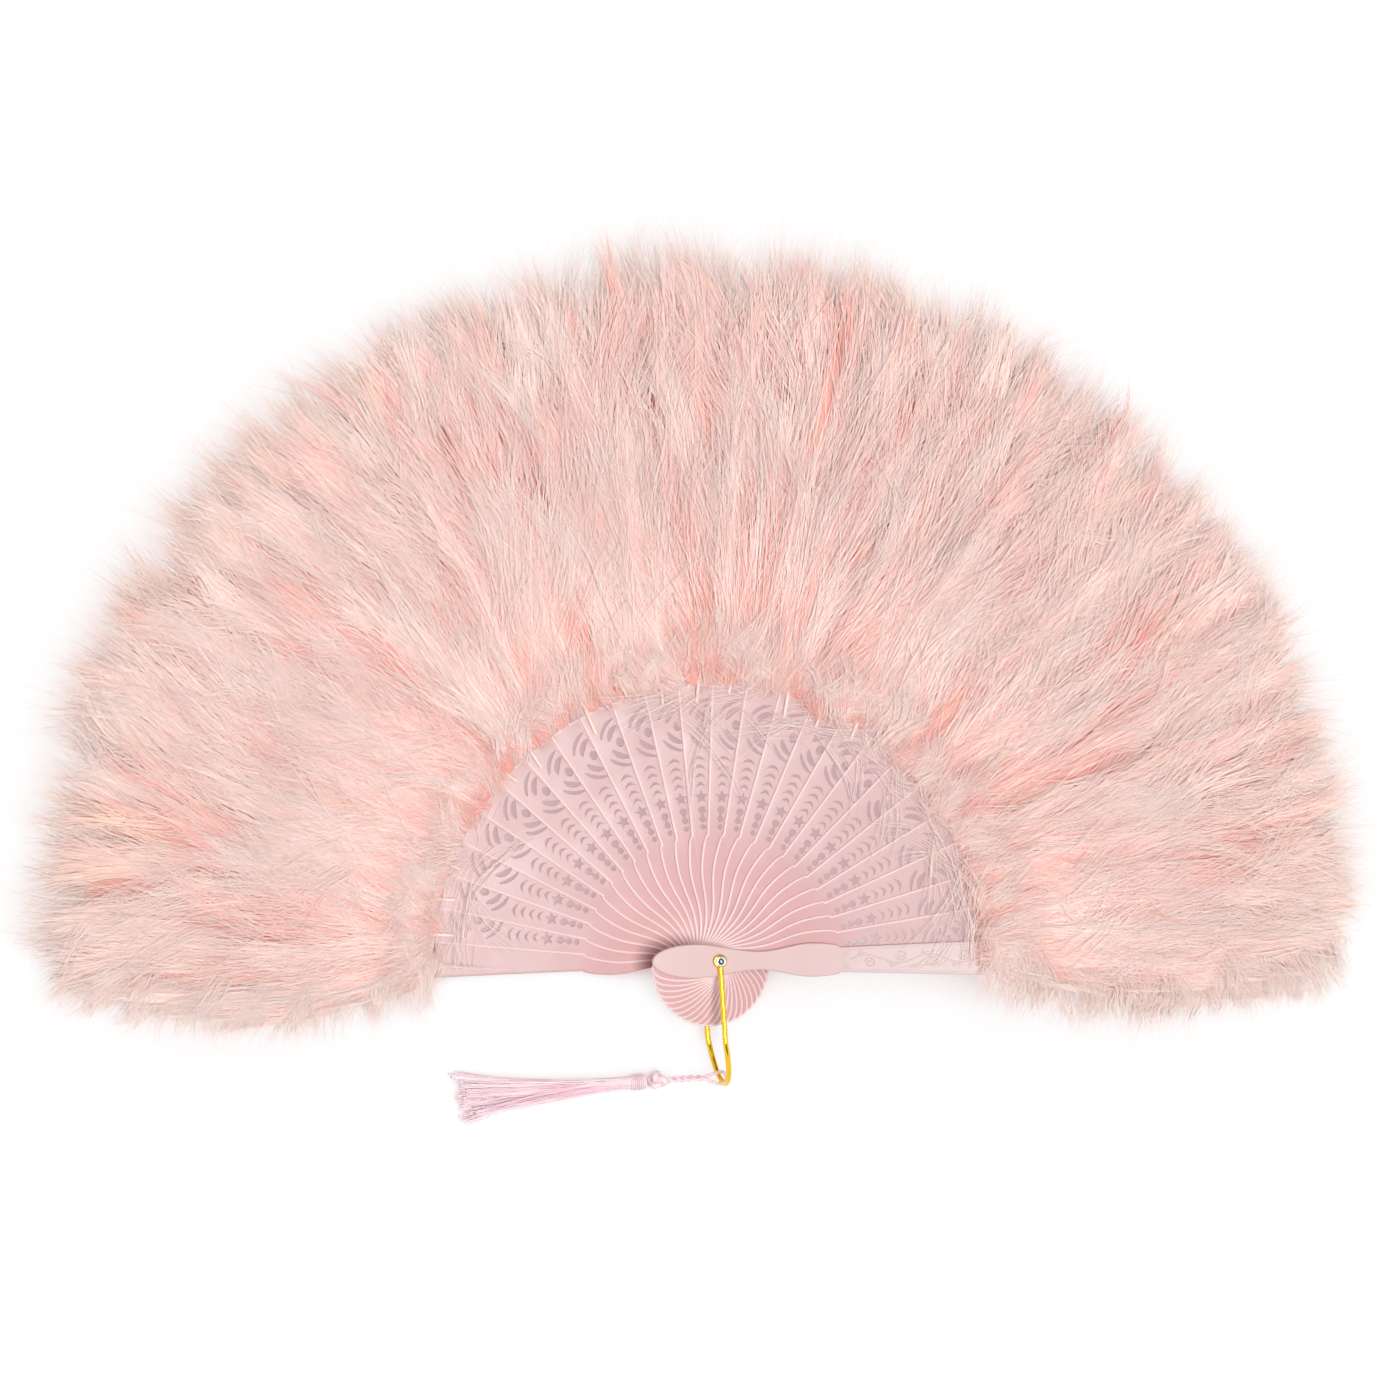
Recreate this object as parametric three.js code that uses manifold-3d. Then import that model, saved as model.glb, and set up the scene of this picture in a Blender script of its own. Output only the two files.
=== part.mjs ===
// Folding feather fan, spread open and lying on its back. Millimetres and degrees.
// The rivet stands on Z at the origin. The spread opens towards +Y, the front guard points along +X on
// top of the stack and the rear guard along -X at the bottom, with the pierced sticks stepping down between.

import * as THREE from 'three';
import { mergeVertices } from 'three/addons/utils/BufferGeometryUtils.js';
import Module from 'manifold-3d';

// Spread
const stickCount = 24;
const spreadAngle = 180;
const stepAngle = spreadAngle / (stickCount + 1);

// Clearances
const runningGap = 0.3;
const seatGap = 0.3;
const pinClearance = 0.2;

// Plates
const stickThickness = 0.7;
const guardThickness = 2.0;
const guardBevel = 0.35;

// Stick outline, by distance from the rivet and half width
const tailReach = 25;
const headBehind = 9;
const neckAt = 15;
const bulgeAt = 35;
const cuspAt = 45.6;
const bladeEnd = 101;
const slipEnd = 160;
const headHalf = 6.2;
const neckHalf = 3.4;
const bulgeHalf = 6.2;
const cuspHalf = 4.6;
const bladeEndHalf = 6.4;
const slipHalf = 2.6;
const slipTipHalf = 1.5;

// Piercing on each stick's centre line: a dot, two joined dots, a star and growing crescents
const dotAt = 48.7;
const dotRadius = 0.85;
const joinedAt = 51.6;
const joinedRadius = 1.0;
const joinedPitch = 3.4;
const joinedFarRadius = 1.2;
const joinedNeckHalf = 0.32;
const starAt = 59.8;
const starOuter = 2.3;
const starInner = 1.0;
const crescentFirst = 63.6;
const crescentPitch = 3.2;
const crescentHalves = [1.5, 1.75, 2.0, 2.15];
const crescentRise = 1.5;
const crescentWall = 0.8;

// Half rosette about a point on the blade's clockwise edge: an eye and two rings of leaves
const rosetteAt = 86.5;
const rosetteAcross = -6;
const eyeFromCentre = 2.4;
const eyeHalfLong = 1.7;
const eyeHalfWide = 1.25;
const leaves = [
  { radius: 6.3, wall: 1.7, from: 10, to: 72 },
  { radius: 6.3, wall: 1.7, from: 106, to: 166 },
  { radius: 9.3, wall: 1.1, from: 9, to: 65 },
  { radius: 9.3, wall: 1.1, from: 117, to: 168 },
];

// Rivet
const pinRadius = 0.9;
const rivetHeadRadius = 1.9;
const rivetHeadHeight = 0.8;
const rivetRim = 0.45;
const rivetDimple = 0.4;
const rivetBossRadius = 0.7;

// Wire bail
const bailWire = 2.0;
const lugRadius = 2.5;
const lugThickness = 1.4;
const bailLeg = 30;
const bailBend = 16;
const bailLegLean = 2;
const bailBendLean = 3;

// Plumes
const plumeReachTop = 266;
const plumeReachSide = 254;
const plumeHeight = 48;
const plumeRootHalf = 6;
const plumeOverhang = 6.6;
const plumeGap = 0.4;

// Tassel
const strandRadius = 0.65;
const strandSlack = 0.5;
const strandFallLength = 14;
const knotAt = new THREE.Vector3(-17.5, -45.6, 3.6);
const knotHalf = new THREE.Vector3(4.2, 3.8, 3.6);
const tasselTurn = 184.5;
const collarLength = 5.5;
const collarRadius = 3.1;
const collarEdge = 0.5;
const skirtLength = 65;
const skirtHalfWide = 8;
const skirtHalfHigh = 3.6;

// Heights of the stack, from the rivet's rear head up
const rearWireZ = rivetHeadHeight + runningGap + bailWire / 2;
const rearGuardZ = rearWireZ + bailWire / 2 + runningGap;
const stickPitch = stickThickness + runningGap;
const firstStickZ = rearGuardZ + guardThickness + runningGap;
const frontGuardZ = firstStickZ + stickCount * stickPitch;
const frontWireZ = frontGuardZ + guardThickness + runningGap + bailWire / 2;
const frontHeadZ = frontWireZ + bailWire / 2 + runningGap;
const boreRadius = pinRadius + pinClearance;
const strandSpread = bailWire / 2 + strandRadius + strandSlack;

// Colours and surfaces
const plastic = { color: 0xebbcbb, roughness: 0.32, metalness: 0 };
const guardPlastic = { color: 0xebd0cf, roughness: 0.3, metalness: 0 };
const feather = { color: 0xf2c8c0, roughness: 0.95, metalness: 0 };
const gold = { color: 0xe0b93c, roughness: 0.22, metalness: 1 };
const steel = { color: 0xb9b9bb, roughness: 0.25, metalness: 1 };
const silk = { color: 0xf0d0da, roughness: 0.55, metalness: 0 };

const wasm = await Module();
wasm.setup();

const fan = new THREE.Group();

function addPiece(name, geometry, surface, parent = fan) {
  const mesh = new THREE.Mesh(geometry, new THREE.MeshStandardMaterial(surface));
  mesh.name = name;
  parent.add(mesh);
  return mesh;
}

function turned(degrees) {
  const group = new THREE.Group();
  group.rotation.z = THREE.MathUtils.degToRad(degrees);
  fan.add(group);
  return group;
}

function toSolid(geometry) {
  const bare = geometry.clone();
  bare.deleteAttribute('normal');
  bare.deleteAttribute('uv');
  const merged = mergeVertices(bare, 1e-4);
  return new wasm.Manifold(new wasm.Mesh({
    numProp: 3,
    vertProperties: new Float32Array(merged.attributes.position.array),
    triVerts: new Uint32Array(merged.index.array),
  }));
}

function toGeometry(solid) {
  const mesh = solid.getMesh();
  const geometry = new THREE.BufferGeometry();
  geometry.setAttribute('position', new THREE.BufferAttribute(mesh.vertProperties, 3));
  geometry.setIndex(new THREE.BufferAttribute(mesh.triVerts, 1));
  geometry.computeVertexNormals();
  return geometry;
}

// A closed loft through rings of equally many points, each running anticlockwise about the loft's direction.
function loft(rings) {
  const sides = rings[0].length;
  const last = (rings.length - 1) * sides;
  const index = [];
  for (let start = 0; start < last; start += sides) {
    for (let k = 0; k < sides; k += 1) {
      const here = start + k;
      const next = start + (k + 1) % sides;
      index.push(here, next, next + sides, here, next + sides, here + sides);
    }
  }
  for (let k = 1; k + 1 < sides; k += 1) {
    index.push(0, k + 1, k, last, last + k, last + k + 1);
  }
  const geometry = new THREE.BufferGeometry();
  geometry.setAttribute('position', new THREE.Float32BufferAttribute(rings.flat(2), 3));
  geometry.setIndex(index);
  geometry.computeVertexNormals();
  return geometry;
}

function tube(curve, radius, sides, steps) {
  const section = new THREE.Shape(ringPoints(0, radius, radius, sides));
  return new THREE.ExtrudeGeometry(section, { steps, extrudePath: curve, bevelEnabled: false });
}

function ringPoints(at, halfLong, halfWide, sides) {
  return Array.from({ length: sides }, (_, k) => {
    const turn = (2 * Math.PI * (k + 0.5)) / sides;
    return new THREE.Vector2(at + halfLong * Math.cos(turn), halfWide * Math.sin(turn));
  });
}

// A stretch of the plate's edge that eases from one half width to the next, without its first point.
function easedEdge(fromAt, fromHalf, toAt, toHalf, segments) {
  return Array.from({ length: segments }, (_, k) => {
    const share = (k + 1) / segments;
    const ease = (1 - Math.cos(Math.PI * share)) / 2;
    return new THREE.Vector2(
      THREE.MathUtils.lerp(fromAt, toAt, share),
      THREE.MathUtils.lerp(fromHalf, toHalf, ease),
    );
  });
}

// One edge of a stick or guard: rounded tail, waisted neck, scalloped bulge, cusp, widening blade and slip.
function plateEdge() {
  const tailLength = tailReach - headBehind;
  const tail = [1, 2].map((k) => {
    const turn = (k * Math.PI) / 4;
    return new THREE.Vector2(-headBehind - tailLength * Math.cos(turn), headHalf * Math.sin(turn));
  });
  const scallop = [1, 2].map((k) => {
    const turn = (k * Math.PI) / 4;
    return new THREE.Vector2(
      bulgeAt + (cuspAt - bulgeAt) * Math.sin(turn),
      cuspHalf + (bulgeHalf - cuspHalf) * Math.cos(turn),
    );
  });
  return [
    ...tail,
    ...easedEdge(-headBehind, headHalf, neckAt, neckHalf, 3),
    ...easedEdge(neckAt, neckHalf, bulgeAt, bulgeHalf, 3),
    ...scallop,
    new THREE.Vector2(bladeEnd, bladeEndHalf),
    new THREE.Vector2(bladeEnd, slipHalf),
    new THREE.Vector2(slipEnd, slipTipHalf),
  ];
}

function mirroredOutline(edge) {
  const other = edge.map((p) => new THREE.Vector2(p.x, -p.y));
  return [...other, ...edge.reverse()];
}

function plateShape() {
  const tip = new THREE.Vector2(-tailReach, 0);
  const shape = new THREE.Shape([tip, ...mirroredOutline(plateEdge())]);
  shape.holes.push(new THREE.Path(ringPoints(0, boreRadius, boreRadius, 6)));
  return shape;
}

function starPoints() {
  return Array.from({ length: 10 }, (_, k) => {
    const turn = (k * Math.PI) / 5;
    const radius = k % 2 === 0 ? starOuter : starInner;
    return new THREE.Vector2(starAt + radius * Math.cos(turn), radius * Math.sin(turn));
  });
}

// A crescent that bows away from the rivet, with its horns level with `at`.
function crescentPoints(at, half) {
  const arc = (height, share) => new THREE.Vector2(at + height * (1 - share * share), half * share);
  const back = [-1, -1 / 3, 1 / 3].map((share) => arc(crescentRise, share));
  const belly = [1, 0].map((share) => arc(crescentRise - crescentWall, share));
  return [...back, ...belly];
}

// Two dots with a narrow neck between them.
function joinedDotPoints() {
  const farAt = joinedAt + joinedPitch;
  const nearTurn = Math.asin(joinedNeckHalf / joinedRadius);
  const farTurn = Math.asin(joinedNeckHalf / joinedFarRadius);
  const arc = (at, radius, start, end, steps) => Array.from({ length: steps + 1 }, (_, k) => {
    const turn = THREE.MathUtils.lerp(start, end, k / steps);
    return new THREE.Vector2(at + radius * Math.cos(turn), radius * Math.sin(turn));
  });
  return [
    ...arc(joinedAt, joinedRadius, nearTurn, 2 * Math.PI - nearTurn, 4),
    ...arc(farAt, joinedFarRadius, farTurn - Math.PI, Math.PI - farTurn, 4),
  ];
}

// A leaf that bends round the rosette's centre and comes to a point at both ends.
function leafPoints({ radius, wall, from, to }) {
  const point = (share, side) => {
    const turn = THREE.MathUtils.degToRad(THREE.MathUtils.lerp(from, to, share));
    const away = radius + side * (wall / 2) * Math.sin(Math.PI * share);
    return new THREE.Vector2(rosetteAt + away * Math.cos(turn), rosetteAcross + away * Math.sin(turn));
  };
  return [point(0, 1), point(1 / 3, 1), point(2 / 3, 1), point(1, 1), point(1 / 2, -1)];
}

function piercings() {
  const dot = ringPoints(dotAt, dotRadius, dotRadius, 5);
  const crescents = crescentHalves.map((half, k) => crescentPoints(crescentFirst + k * crescentPitch, half));
  const eyeAcross = new THREE.Vector2(0, rosetteAcross + eyeFromCentre);
  const eye = ringPoints(rosetteAt, eyeHalfLong, eyeHalfWide, 5).map((p) => p.add(eyeAcross));
  return [dot, joinedDotPoints(), starPoints(), ...crescents, ...leaves.map(leafPoints), eye];
}

function stickGeometry() {
  const shape = plateShape();
  shape.holes.push(...piercings().map((points) => new THREE.Path(points)));
  return new THREE.ExtrudeGeometry(shape, { depth: stickThickness, bevelEnabled: false });
}

function guardGeometry() {
  const geometry = new THREE.ExtrudeGeometry(plateShape(), {
    depth: guardThickness - 2 * guardBevel,
    bevelSize: guardBevel,
    bevelThickness: guardBevel,
    bevelOffset: -guardBevel,
    bevelSegments: 1,
  });
  return geometry.translate(0, 0, guardBevel);
}

// Half the width of a plume's sector at a distance from the rivet, short of the plane shared with its neighbour.
function sectorEdge(at, degrees) {
  const turn = THREE.MathUtils.degToRad(degrees);
  return at * Math.tan(turn) - plumeGap / 2 / Math.cos(turn);
}

// A plume's outer surface: from a root round the slip it swells to the full height of the fan and rounds off.
function plumeRings(slipMiddle, reach, lowAngle, highAngle) {
  const root = bladeEnd + seatGap;
  const length = reach - root;
  const stations = [
    { share: 0, low: Math.max(0, slipMiddle - plumeRootHalf), high: slipMiddle + plumeRootHalf, width: 1 },
    { share: 0.32, low: 0, high: plumeHeight, width: 1 },
    { share: 0.88, low: 0, high: 0.75 * plumeHeight, width: 1 },
    { share: 1, low: 0.06 * plumeHeight, high: 0.45 * plumeHeight, width: 0.82 },
  ];
  const section = [[0.6, 0], [1, 0.3], [1, 0.7], [0.55, 1], [-0.55, 1], [-1, 0.7], [-1, 0.3], [-0.6, 0]];
  return stations.map(({ share, low, high, width }) => {
    const at = root + share * length;
    return section.map(([across, up]) => {
      const edge = sectorEdge(at, across > 0 ? highAngle : lowAngle);
      return [at, across * width * edge, THREE.MathUtils.lerp(low, high, up)];
    });
  });
}

// The slip's pocket in its plume, open towards the blade.
function slipPocket(bottom, thickness) {
  const taper = (slipTipHalf - slipHalf) / (slipEnd - bladeEnd);
  const near = bladeEnd - seatGap;
  const far = slipEnd + seatGap;
  const halfAt = (at) => slipHalf + taper * (at - bladeEnd) + seatGap;
  const shape = new THREE.Shape([
    new THREE.Vector2(near, -halfAt(near)),
    new THREE.Vector2(far, -halfAt(far)),
    new THREE.Vector2(far, halfAt(far)),
    new THREE.Vector2(near, halfAt(near)),
  ]);
  const depth = thickness + 2 * seatGap;
  return new THREE.ExtrudeGeometry(shape, { depth, bevelEnabled: false }).translate(0, 0, bottom - seatGap);
}

function plumeGeometry(bottom, thickness, reach, lowAngle, highAngle) {
  const body = toSolid(loft(plumeRings(bottom + thickness / 2, reach, lowAngle, highAngle)));
  return toGeometry(body.subtract(toSolid(slipPocket(bottom, thickness))));
}

// A blade with the plume that grows from its slip.
function addBlade(name, plumeName, degrees, bottom, plate, sizes) {
  const group = turned(degrees);
  const mesh = addPiece(name, plate, sizes.surface, group);
  mesh.position.z = bottom;
  const lift = Math.sin(THREE.MathUtils.degToRad(degrees));
  const reach = THREE.MathUtils.lerp(plumeReachSide, plumeReachTop, lift);
  const plume = plumeGeometry(bottom, sizes.thickness, reach, sizes.lowAngle, sizes.highAngle);
  addPiece(plumeName, plume, feather, group);
}

function addSticks() {
  const sizes = {
    thickness: stickThickness,
    lowAngle: stepAngle / 2,
    highAngle: stepAngle / 2,
    surface: plastic,
  };
  for (let i = 1; i <= stickCount; i += 1) {
    const number = String(i).padStart(2, '0');
    const bottom = firstStickZ + (stickCount - i) * stickPitch;
    addBlade(`stick_${number}`, `plume_${number}`, i * stepAngle, bottom, stickGeometry(), sizes);
  }
}

function addGuards() {
  const common = { thickness: guardThickness, surface: guardPlastic };
  const front = { ...common, lowAngle: plumeOverhang, highAngle: stepAngle / 2 };
  const rear = { ...common, lowAngle: stepAngle / 2, highAngle: plumeOverhang };
  addBlade('front_guard', 'front_plume', 0, frontGuardZ, guardGeometry(), front);
  addBlade('rear_guard', 'rear_plume', spreadAngle, rearGuardZ, guardGeometry(), rear);
}

// Rivet turned in one piece: flat rear head, pin through the stack, dimpled front head.
function addRivet() {
  const top = frontHeadZ + rivetHeadHeight;
  const profile = [
    [0, 0],
    [rivetHeadRadius, 0],
    [rivetHeadRadius, rivetHeadHeight],
    [pinRadius, rivetHeadHeight],
    [pinRadius, frontHeadZ],
    [rivetHeadRadius, frontHeadZ],
    [rivetHeadRadius - rivetRim / 2, top],
    [rivetHeadRadius - rivetRim, top],
    [rivetBossRadius, top - rivetDimple],
    [0, top],
  ];
  const lathe = new THREE.LatheGeometry(profile.map(([r, z]) => new THREE.Vector2(r, z)), 10);
  addPiece('rivet', lathe.rotateX(Math.PI / 2), steel);
}

// The wire's centre line: front leg, half-round bend down past the tails, rear leg.
function bailCurve() {
  const middle = (frontWireZ + rearWireZ) / 2;
  const halfGap = (frontWireZ - rearWireZ) / 2;
  const start = lugRadius / 2;
  const bend = Array.from({ length: 7 }, (_, k) => {
    const turn = (k * Math.PI) / 6;
    return new THREE.Vector3(
      bailLegLean + bailBendLean * Math.sin(turn),
      -bailLeg - bailBend * Math.sin(turn),
      middle + halfGap * Math.cos(turn),
    );
  });
  const legPoint = (z) => new THREE.Vector3((bailLegLean * start) / bailLeg, -start, z);
  return new THREE.CatmullRomCurve3([legPoint(frontWireZ), ...bend, legPoint(rearWireZ)]);
}

function lugSolid(z) {
  const disc = new THREE.Shape(ringPoints(0, lugRadius, lugRadius, 14));
  const plate = new THREE.ExtrudeGeometry(disc, { depth: lugThickness, bevelEnabled: false });
  return toSolid(plate.translate(0, 0, z - lugThickness / 2));
}

function boreSolid() {
  const round = new THREE.Shape(ringPoints(0, boreRadius, boreRadius, 10));
  return toSolid(new THREE.ExtrudeGeometry(round, { depth: frontHeadZ + bailWire, bevelEnabled: false }));
}

function addBail() {
  const wire = toSolid(tube(bailCurve(), bailWire / 2, 8, 21));
  const solid = wire.add(lugSolid(frontWireZ)).add(lugSolid(rearWireZ)).subtract(boreSolid());
  addPiece('bail', toGeometry(solid), gold);
}

// The tassel's cord: out from the knot, round the wire where the bend comes down, and back beside itself.
function tasselCordCurve(loopCentre, knotFace) {
  const side = new THREE.Vector3(0, strandSpread, 0);
  const fall = new THREE.Vector3(-strandFallLength, 0, 0);
  const along = knotFace.clone().sub(loopCentre);
  fall.z = (along.z * strandFallLength) / Math.abs(along.x);
  const reach = new THREE.Vector3(0.9 * strandSpread, 0, 0);
  const rightSide = loopCentre.clone().add(side);
  const leftSide = loopCentre.clone().sub(side);
  const half = new THREE.Vector3(0, strandRadius + runningGap, 0);
  return new THREE.CatmullRomCurve3([
    knotFace.clone().add(half),
    rightSide.clone().add(fall).sub(new THREE.Vector3(0, strandSpread / 3, 0)),
    rightSide,
    rightSide.clone().add(reach),
    loopCentre.clone().add(reach).add(reach),
    leftSide.clone().add(reach),
    leftSide,
    leftSide.clone().add(fall).add(new THREE.Vector3(0, strandSpread / 3, 0)),
    knotFace.clone().sub(half),
  ], false, 'centripetal');
}

function ellipseRing(at, halfWide, halfHigh) {
  return ringPoints(0, halfWide, halfHigh, 12).map((p) => [at, p.x, halfHigh + p.y]);
}

// Knot, bound collar and thread skirt lie in line on the table, turned about the knot.
function addTassel() {
  const group = new THREE.Group();
  group.position.set(knotAt.x, knotAt.y, 0);
  group.rotation.z = THREE.MathUtils.degToRad(tasselTurn);
  fan.add(group);

  const knot = new THREE.SphereGeometry(1, 10, 6).rotateX(Math.PI / 2);
  knot.scale(knotHalf.x, knotHalf.y, knotHalf.z);
  addPiece('tassel_knot', knot.translate(0, 0, knotAt.z), silk, group);

  const collarStart = knotHalf.x + seatGap;
  const collarEndAt = collarStart + collarLength;
  const collar = [
    ellipseRing(collarStart, collarRadius - collarEdge, collarRadius - collarEdge / 2),
    ellipseRing(collarStart + collarEdge, collarRadius, collarRadius),
    ellipseRing(collarEndAt - collarEdge, collarRadius, collarRadius),
    ellipseRing(collarEndAt, collarRadius - collarEdge, collarRadius - collarEdge / 2),
  ];
  addPiece('tassel_collar', loft(collar), silk, group);

  const skirtStart = collarEndAt + seatGap;
  const skirt = [
    ellipseRing(skirtStart, collarRadius - collarEdge, collarRadius - collarEdge / 2),
    ellipseRing(skirtStart + 0.12 * skirtLength, 0.6 * skirtHalfWide, skirtHalfHigh),
    ellipseRing(skirtStart + 0.6 * skirtLength, 0.8 * skirtHalfWide, skirtHalfHigh),
    ellipseRing(skirtStart + skirtLength, skirtHalfWide, 0.85 * skirtHalfHigh),
  ];
  addPiece('tassel_skirt', loft(skirt), silk, group);
}

function addTasselCord() {
  const wrapTurn = THREE.MathUtils.degToRad(115);
  const loopCentre = new THREE.Vector3(
    bailLegLean + bailBendLean * Math.sin(wrapTurn),
    -bailLeg - bailBend * Math.sin(wrapTurn),
    (frontWireZ + rearWireZ) / 2 + ((frontWireZ - rearWireZ) / 2) * Math.cos(wrapTurn),
  );
  const knotFace = new THREE.Vector3(knotAt.x + knotHalf.x + seatGap, knotAt.y, knotAt.z);
  addPiece('tassel_cord', tube(tasselCordCurve(loopCentre, knotFace), strandRadius, 8, 24), silk);
}

addSticks();
addGuards();
addRivet();
addBail();
addTasselCord();
addTassel();

export default fan;
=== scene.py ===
"""Feather fan: pierced sticks between two guards on a rivet, a plume on each, a wire bail and a tassel."""
import math

import bmesh
import bpy
import numpy as np
from mathutils import Matrix, Vector


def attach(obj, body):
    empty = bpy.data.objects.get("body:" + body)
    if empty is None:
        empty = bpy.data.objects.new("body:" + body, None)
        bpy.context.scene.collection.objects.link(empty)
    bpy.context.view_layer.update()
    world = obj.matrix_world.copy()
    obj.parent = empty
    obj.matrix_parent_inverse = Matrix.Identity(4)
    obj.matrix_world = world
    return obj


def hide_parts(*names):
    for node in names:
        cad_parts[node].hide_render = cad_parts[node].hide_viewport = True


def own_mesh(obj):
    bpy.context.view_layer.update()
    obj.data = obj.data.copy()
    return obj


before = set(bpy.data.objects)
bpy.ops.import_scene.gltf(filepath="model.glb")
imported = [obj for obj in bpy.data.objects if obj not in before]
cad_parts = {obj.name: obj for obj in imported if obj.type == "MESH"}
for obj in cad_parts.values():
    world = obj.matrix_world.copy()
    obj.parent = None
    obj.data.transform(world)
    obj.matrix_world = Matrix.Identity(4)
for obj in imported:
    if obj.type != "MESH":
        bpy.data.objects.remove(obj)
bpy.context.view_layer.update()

bl_info = {
    "name": "Feather fan",
    "version": (1, 0, 0),
    "blender": (4, 5, 0),
    "location": "3D View > Sidebar > Feather fan",
    "description": "Dresses the packed fan: sticks, guards, rivet, bail, tassel and down plumes",
    "category": "Add Mesh",
}

MM = 0.001

# The fan's layout, as the solids have it
STICKS = 24
STEP = math.pi / (STICKS + 1)
STICK_THICK = 0.7 * MM
GUARD_THICK = 2.0 * MM
BORE = 1.1 * MM
FIRST_STICK_Z = 5.7 * MM
STICK_PITCH = 1.0 * MM
REAR_GUARD_Z = 3.4 * MM
FRONT_GUARD_Z = 29.7 * MM
FRONT_WIRE_Z = 33.0 * MM
REAR_WIRE_Z = 2.1 * MM
RIVET_TOP = 35.1 * MM
BLADE_END = 101.0 * MM
ROOT = 101.3 * MM
REACH_SIDE = 254.0 * MM
REACH_TOP = 266.0 * MM
PLUME_HIGH = 48.0 * MM
OVERHANG = math.radians(6.6)
KNOT = Vector((-17.5, -45.6, 3.6)) * MM
TASSEL_TURN = math.radians(184.5)
LOOP = Vector((4.719, -44.501, 11.02)) * MM

# Half outline of a plate in millimetres: how far from the rivet each part is, and half its width there
TAIL = (-9.0, 6.2)
WAIST = (15.0, 3.4)
BULGE = (35.0, 6.2)
CUSP = (45.6, 4.6)
BLADE = (101.0, 6.4)
SLIP_START = (101.0, 2.6)
SLIP_END = (160.0, 1.5)
TAIL_ROUND = 16.0

# Piercings of a blade and scrolls of a guard, in millimetres; a leaf has radius, thickness, start and end
CRESCENT_HALVES = (1.5, 1.75, 2.0, 2.15)
ROSETTE = (86.5, -6.0)
LEAVES = ((6.3, 1.7, 10, 72), (6.3, 1.7, 106, 166), (9.3, 1.0, 9, 65), (9.3, 1.0, 117, 168))
VINE_ENDS = (49.5, 97.5)

# Wire bail: the straight of its legs in millimetres, and the section of its eyes as radius and rise
WIRE_RADIUS = 1.0 * MM
BAIL_LEG = 30.0
EYE = ((1.15, -0.6), (1.25, -0.7), (2.2, -0.7), (2.42, -0.6), (2.5, -0.4), (2.5, 0.4), (2.42, 0.6),
       (2.2, 0.7), (1.25, 0.7), (1.15, 0.6), (1.15, -0.6))

# Tassel
TASSEL_Z = 3.1 * MM
TASSEL_SEED = 71
KNOT_HALF = np.array([2.55, 2.45, 2.5]) * MM

# Down: how far its corners reach by how low they hang, the width of its rim, barbs in the locks that differ,
# the share that deals locks evenly, and the least distance from the rivet that a turn is worked out at
PLUME_SEED = 4000
CORNER_REACH = np.array([196, 210, 222, 233, 242, 258, 278]) * MM
CORNER_HANG = np.array([24, 20, 14, 7, 0, -12, -30]) * MM
RIM_WIDE = 45 * MM
BARB_COUNTS = {"wisp": 9, "veil": 22, "side": 30}
GOLDEN = 0.6180340
NEAREST = 60 * MM
FIRST_QUILL = 6

# Strands: what widens a three-sided barb to a round one, how far its shading leans to the way it faces, and
# the columns of the colour map, with their half width, their top and the one for plain wire
THREE_SIDED = 1.15
FLATTER = 2.2
STRIPS = 192
STRIP_HALF = 0.004
STRIP_TOP = 0.98
PLAIN_STRIP = 0.15

# Node trees and finishes
NODE_GAP = 220
NODE_ROW = -300
STRAND_TONES = ("Deep", "Pale", "Root", "Tip", "Fringe", "Side")
# Distances over which the plates' painted shade near the rivet gives way to the blade colour
STACK_SHADE_REACH = (30 * MM, 66 * MM)
WHITE = (1.0, 1.0, 1.0)

# Camera, table and light
CAMERA_TILT = math.radians(12.0)
CAMERA_FAR = 1.6
CAMERA_TARGET = Vector((-0.0031, 0.0953, 0.012))
CAMERA_SENSOR = 36.0
VIEW_WIDE = 0.517
TABLE_HALF = 6.0
TABLE_Z = -0.4 * MM
SHADE_REACH = 0.12
GLOW_SHARE = 0.86
SKY_COLOUR = (1.0, 0.9, 0.88, 1.0)
SKY_STRENGTH = 0.32
OVERHEAD_COLOUR = (0.10, 0.09, 0.08, 1.0)
LAMP_AT = Vector((-0.1, -0.1, 4.0))
LAMP_TARGET = Vector((0.0, 0.1, 0.0))
LAMP_SIZE = 1.4
LAMP_WATTS = 133.0


def shade(red, green, blue):
    """A colour written as screen values, in the linear numbers that the shaders take."""
    return tuple(((c / 255 + 0.055) / 1.055) ** 2.4 for c in (red, green, blue))


def length(name, description, default):
    return bpy.props.FloatProperty(
        name=name, description=description, default=default, min=0.0, unit="LENGTH", precision=5
    )


def tally(name, description, default):
    return bpy.props.IntProperty(name=name, description=description, default=default, min=1)


def colour(name, description, red, green, blue):
    tone = shade(red, green, blue)
    return bpy.props.FloatVectorProperty(
        name=name, description=description, default=tone, min=0.0, max=1.0, subtype="COLOR"
    )


def settings_group(kind, name, description):
    return bpy.props.PointerProperty(type=kind, name=name, description=description)


class FanPlateSizes(bpy.types.PropertyGroup):
    edge_round: length("Edge rounding", "How far the rims of plates and piercings are rounded", 0.00018)
    crown_edge: length("Crown edge", "Width of the slope along a stick's edge", 0.0007)
    crown_rise: length("Crown rise", "How far a stick's middle stands over its edge", 0.00028)
    guard_round: length("Guard rounding", "How far the guards' rims are rounded", 0.0005)
    panel_rim: length("Panel rim", "Width of the raised rim round a guard's panel", 0.0011)
    panel_depth: length("Panel depth", "How far a guard's panel is sunk", 0.0003)
    vine: length("Vine", "Thickness of the scrolls in a guard's panel", 0.00062)


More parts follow.
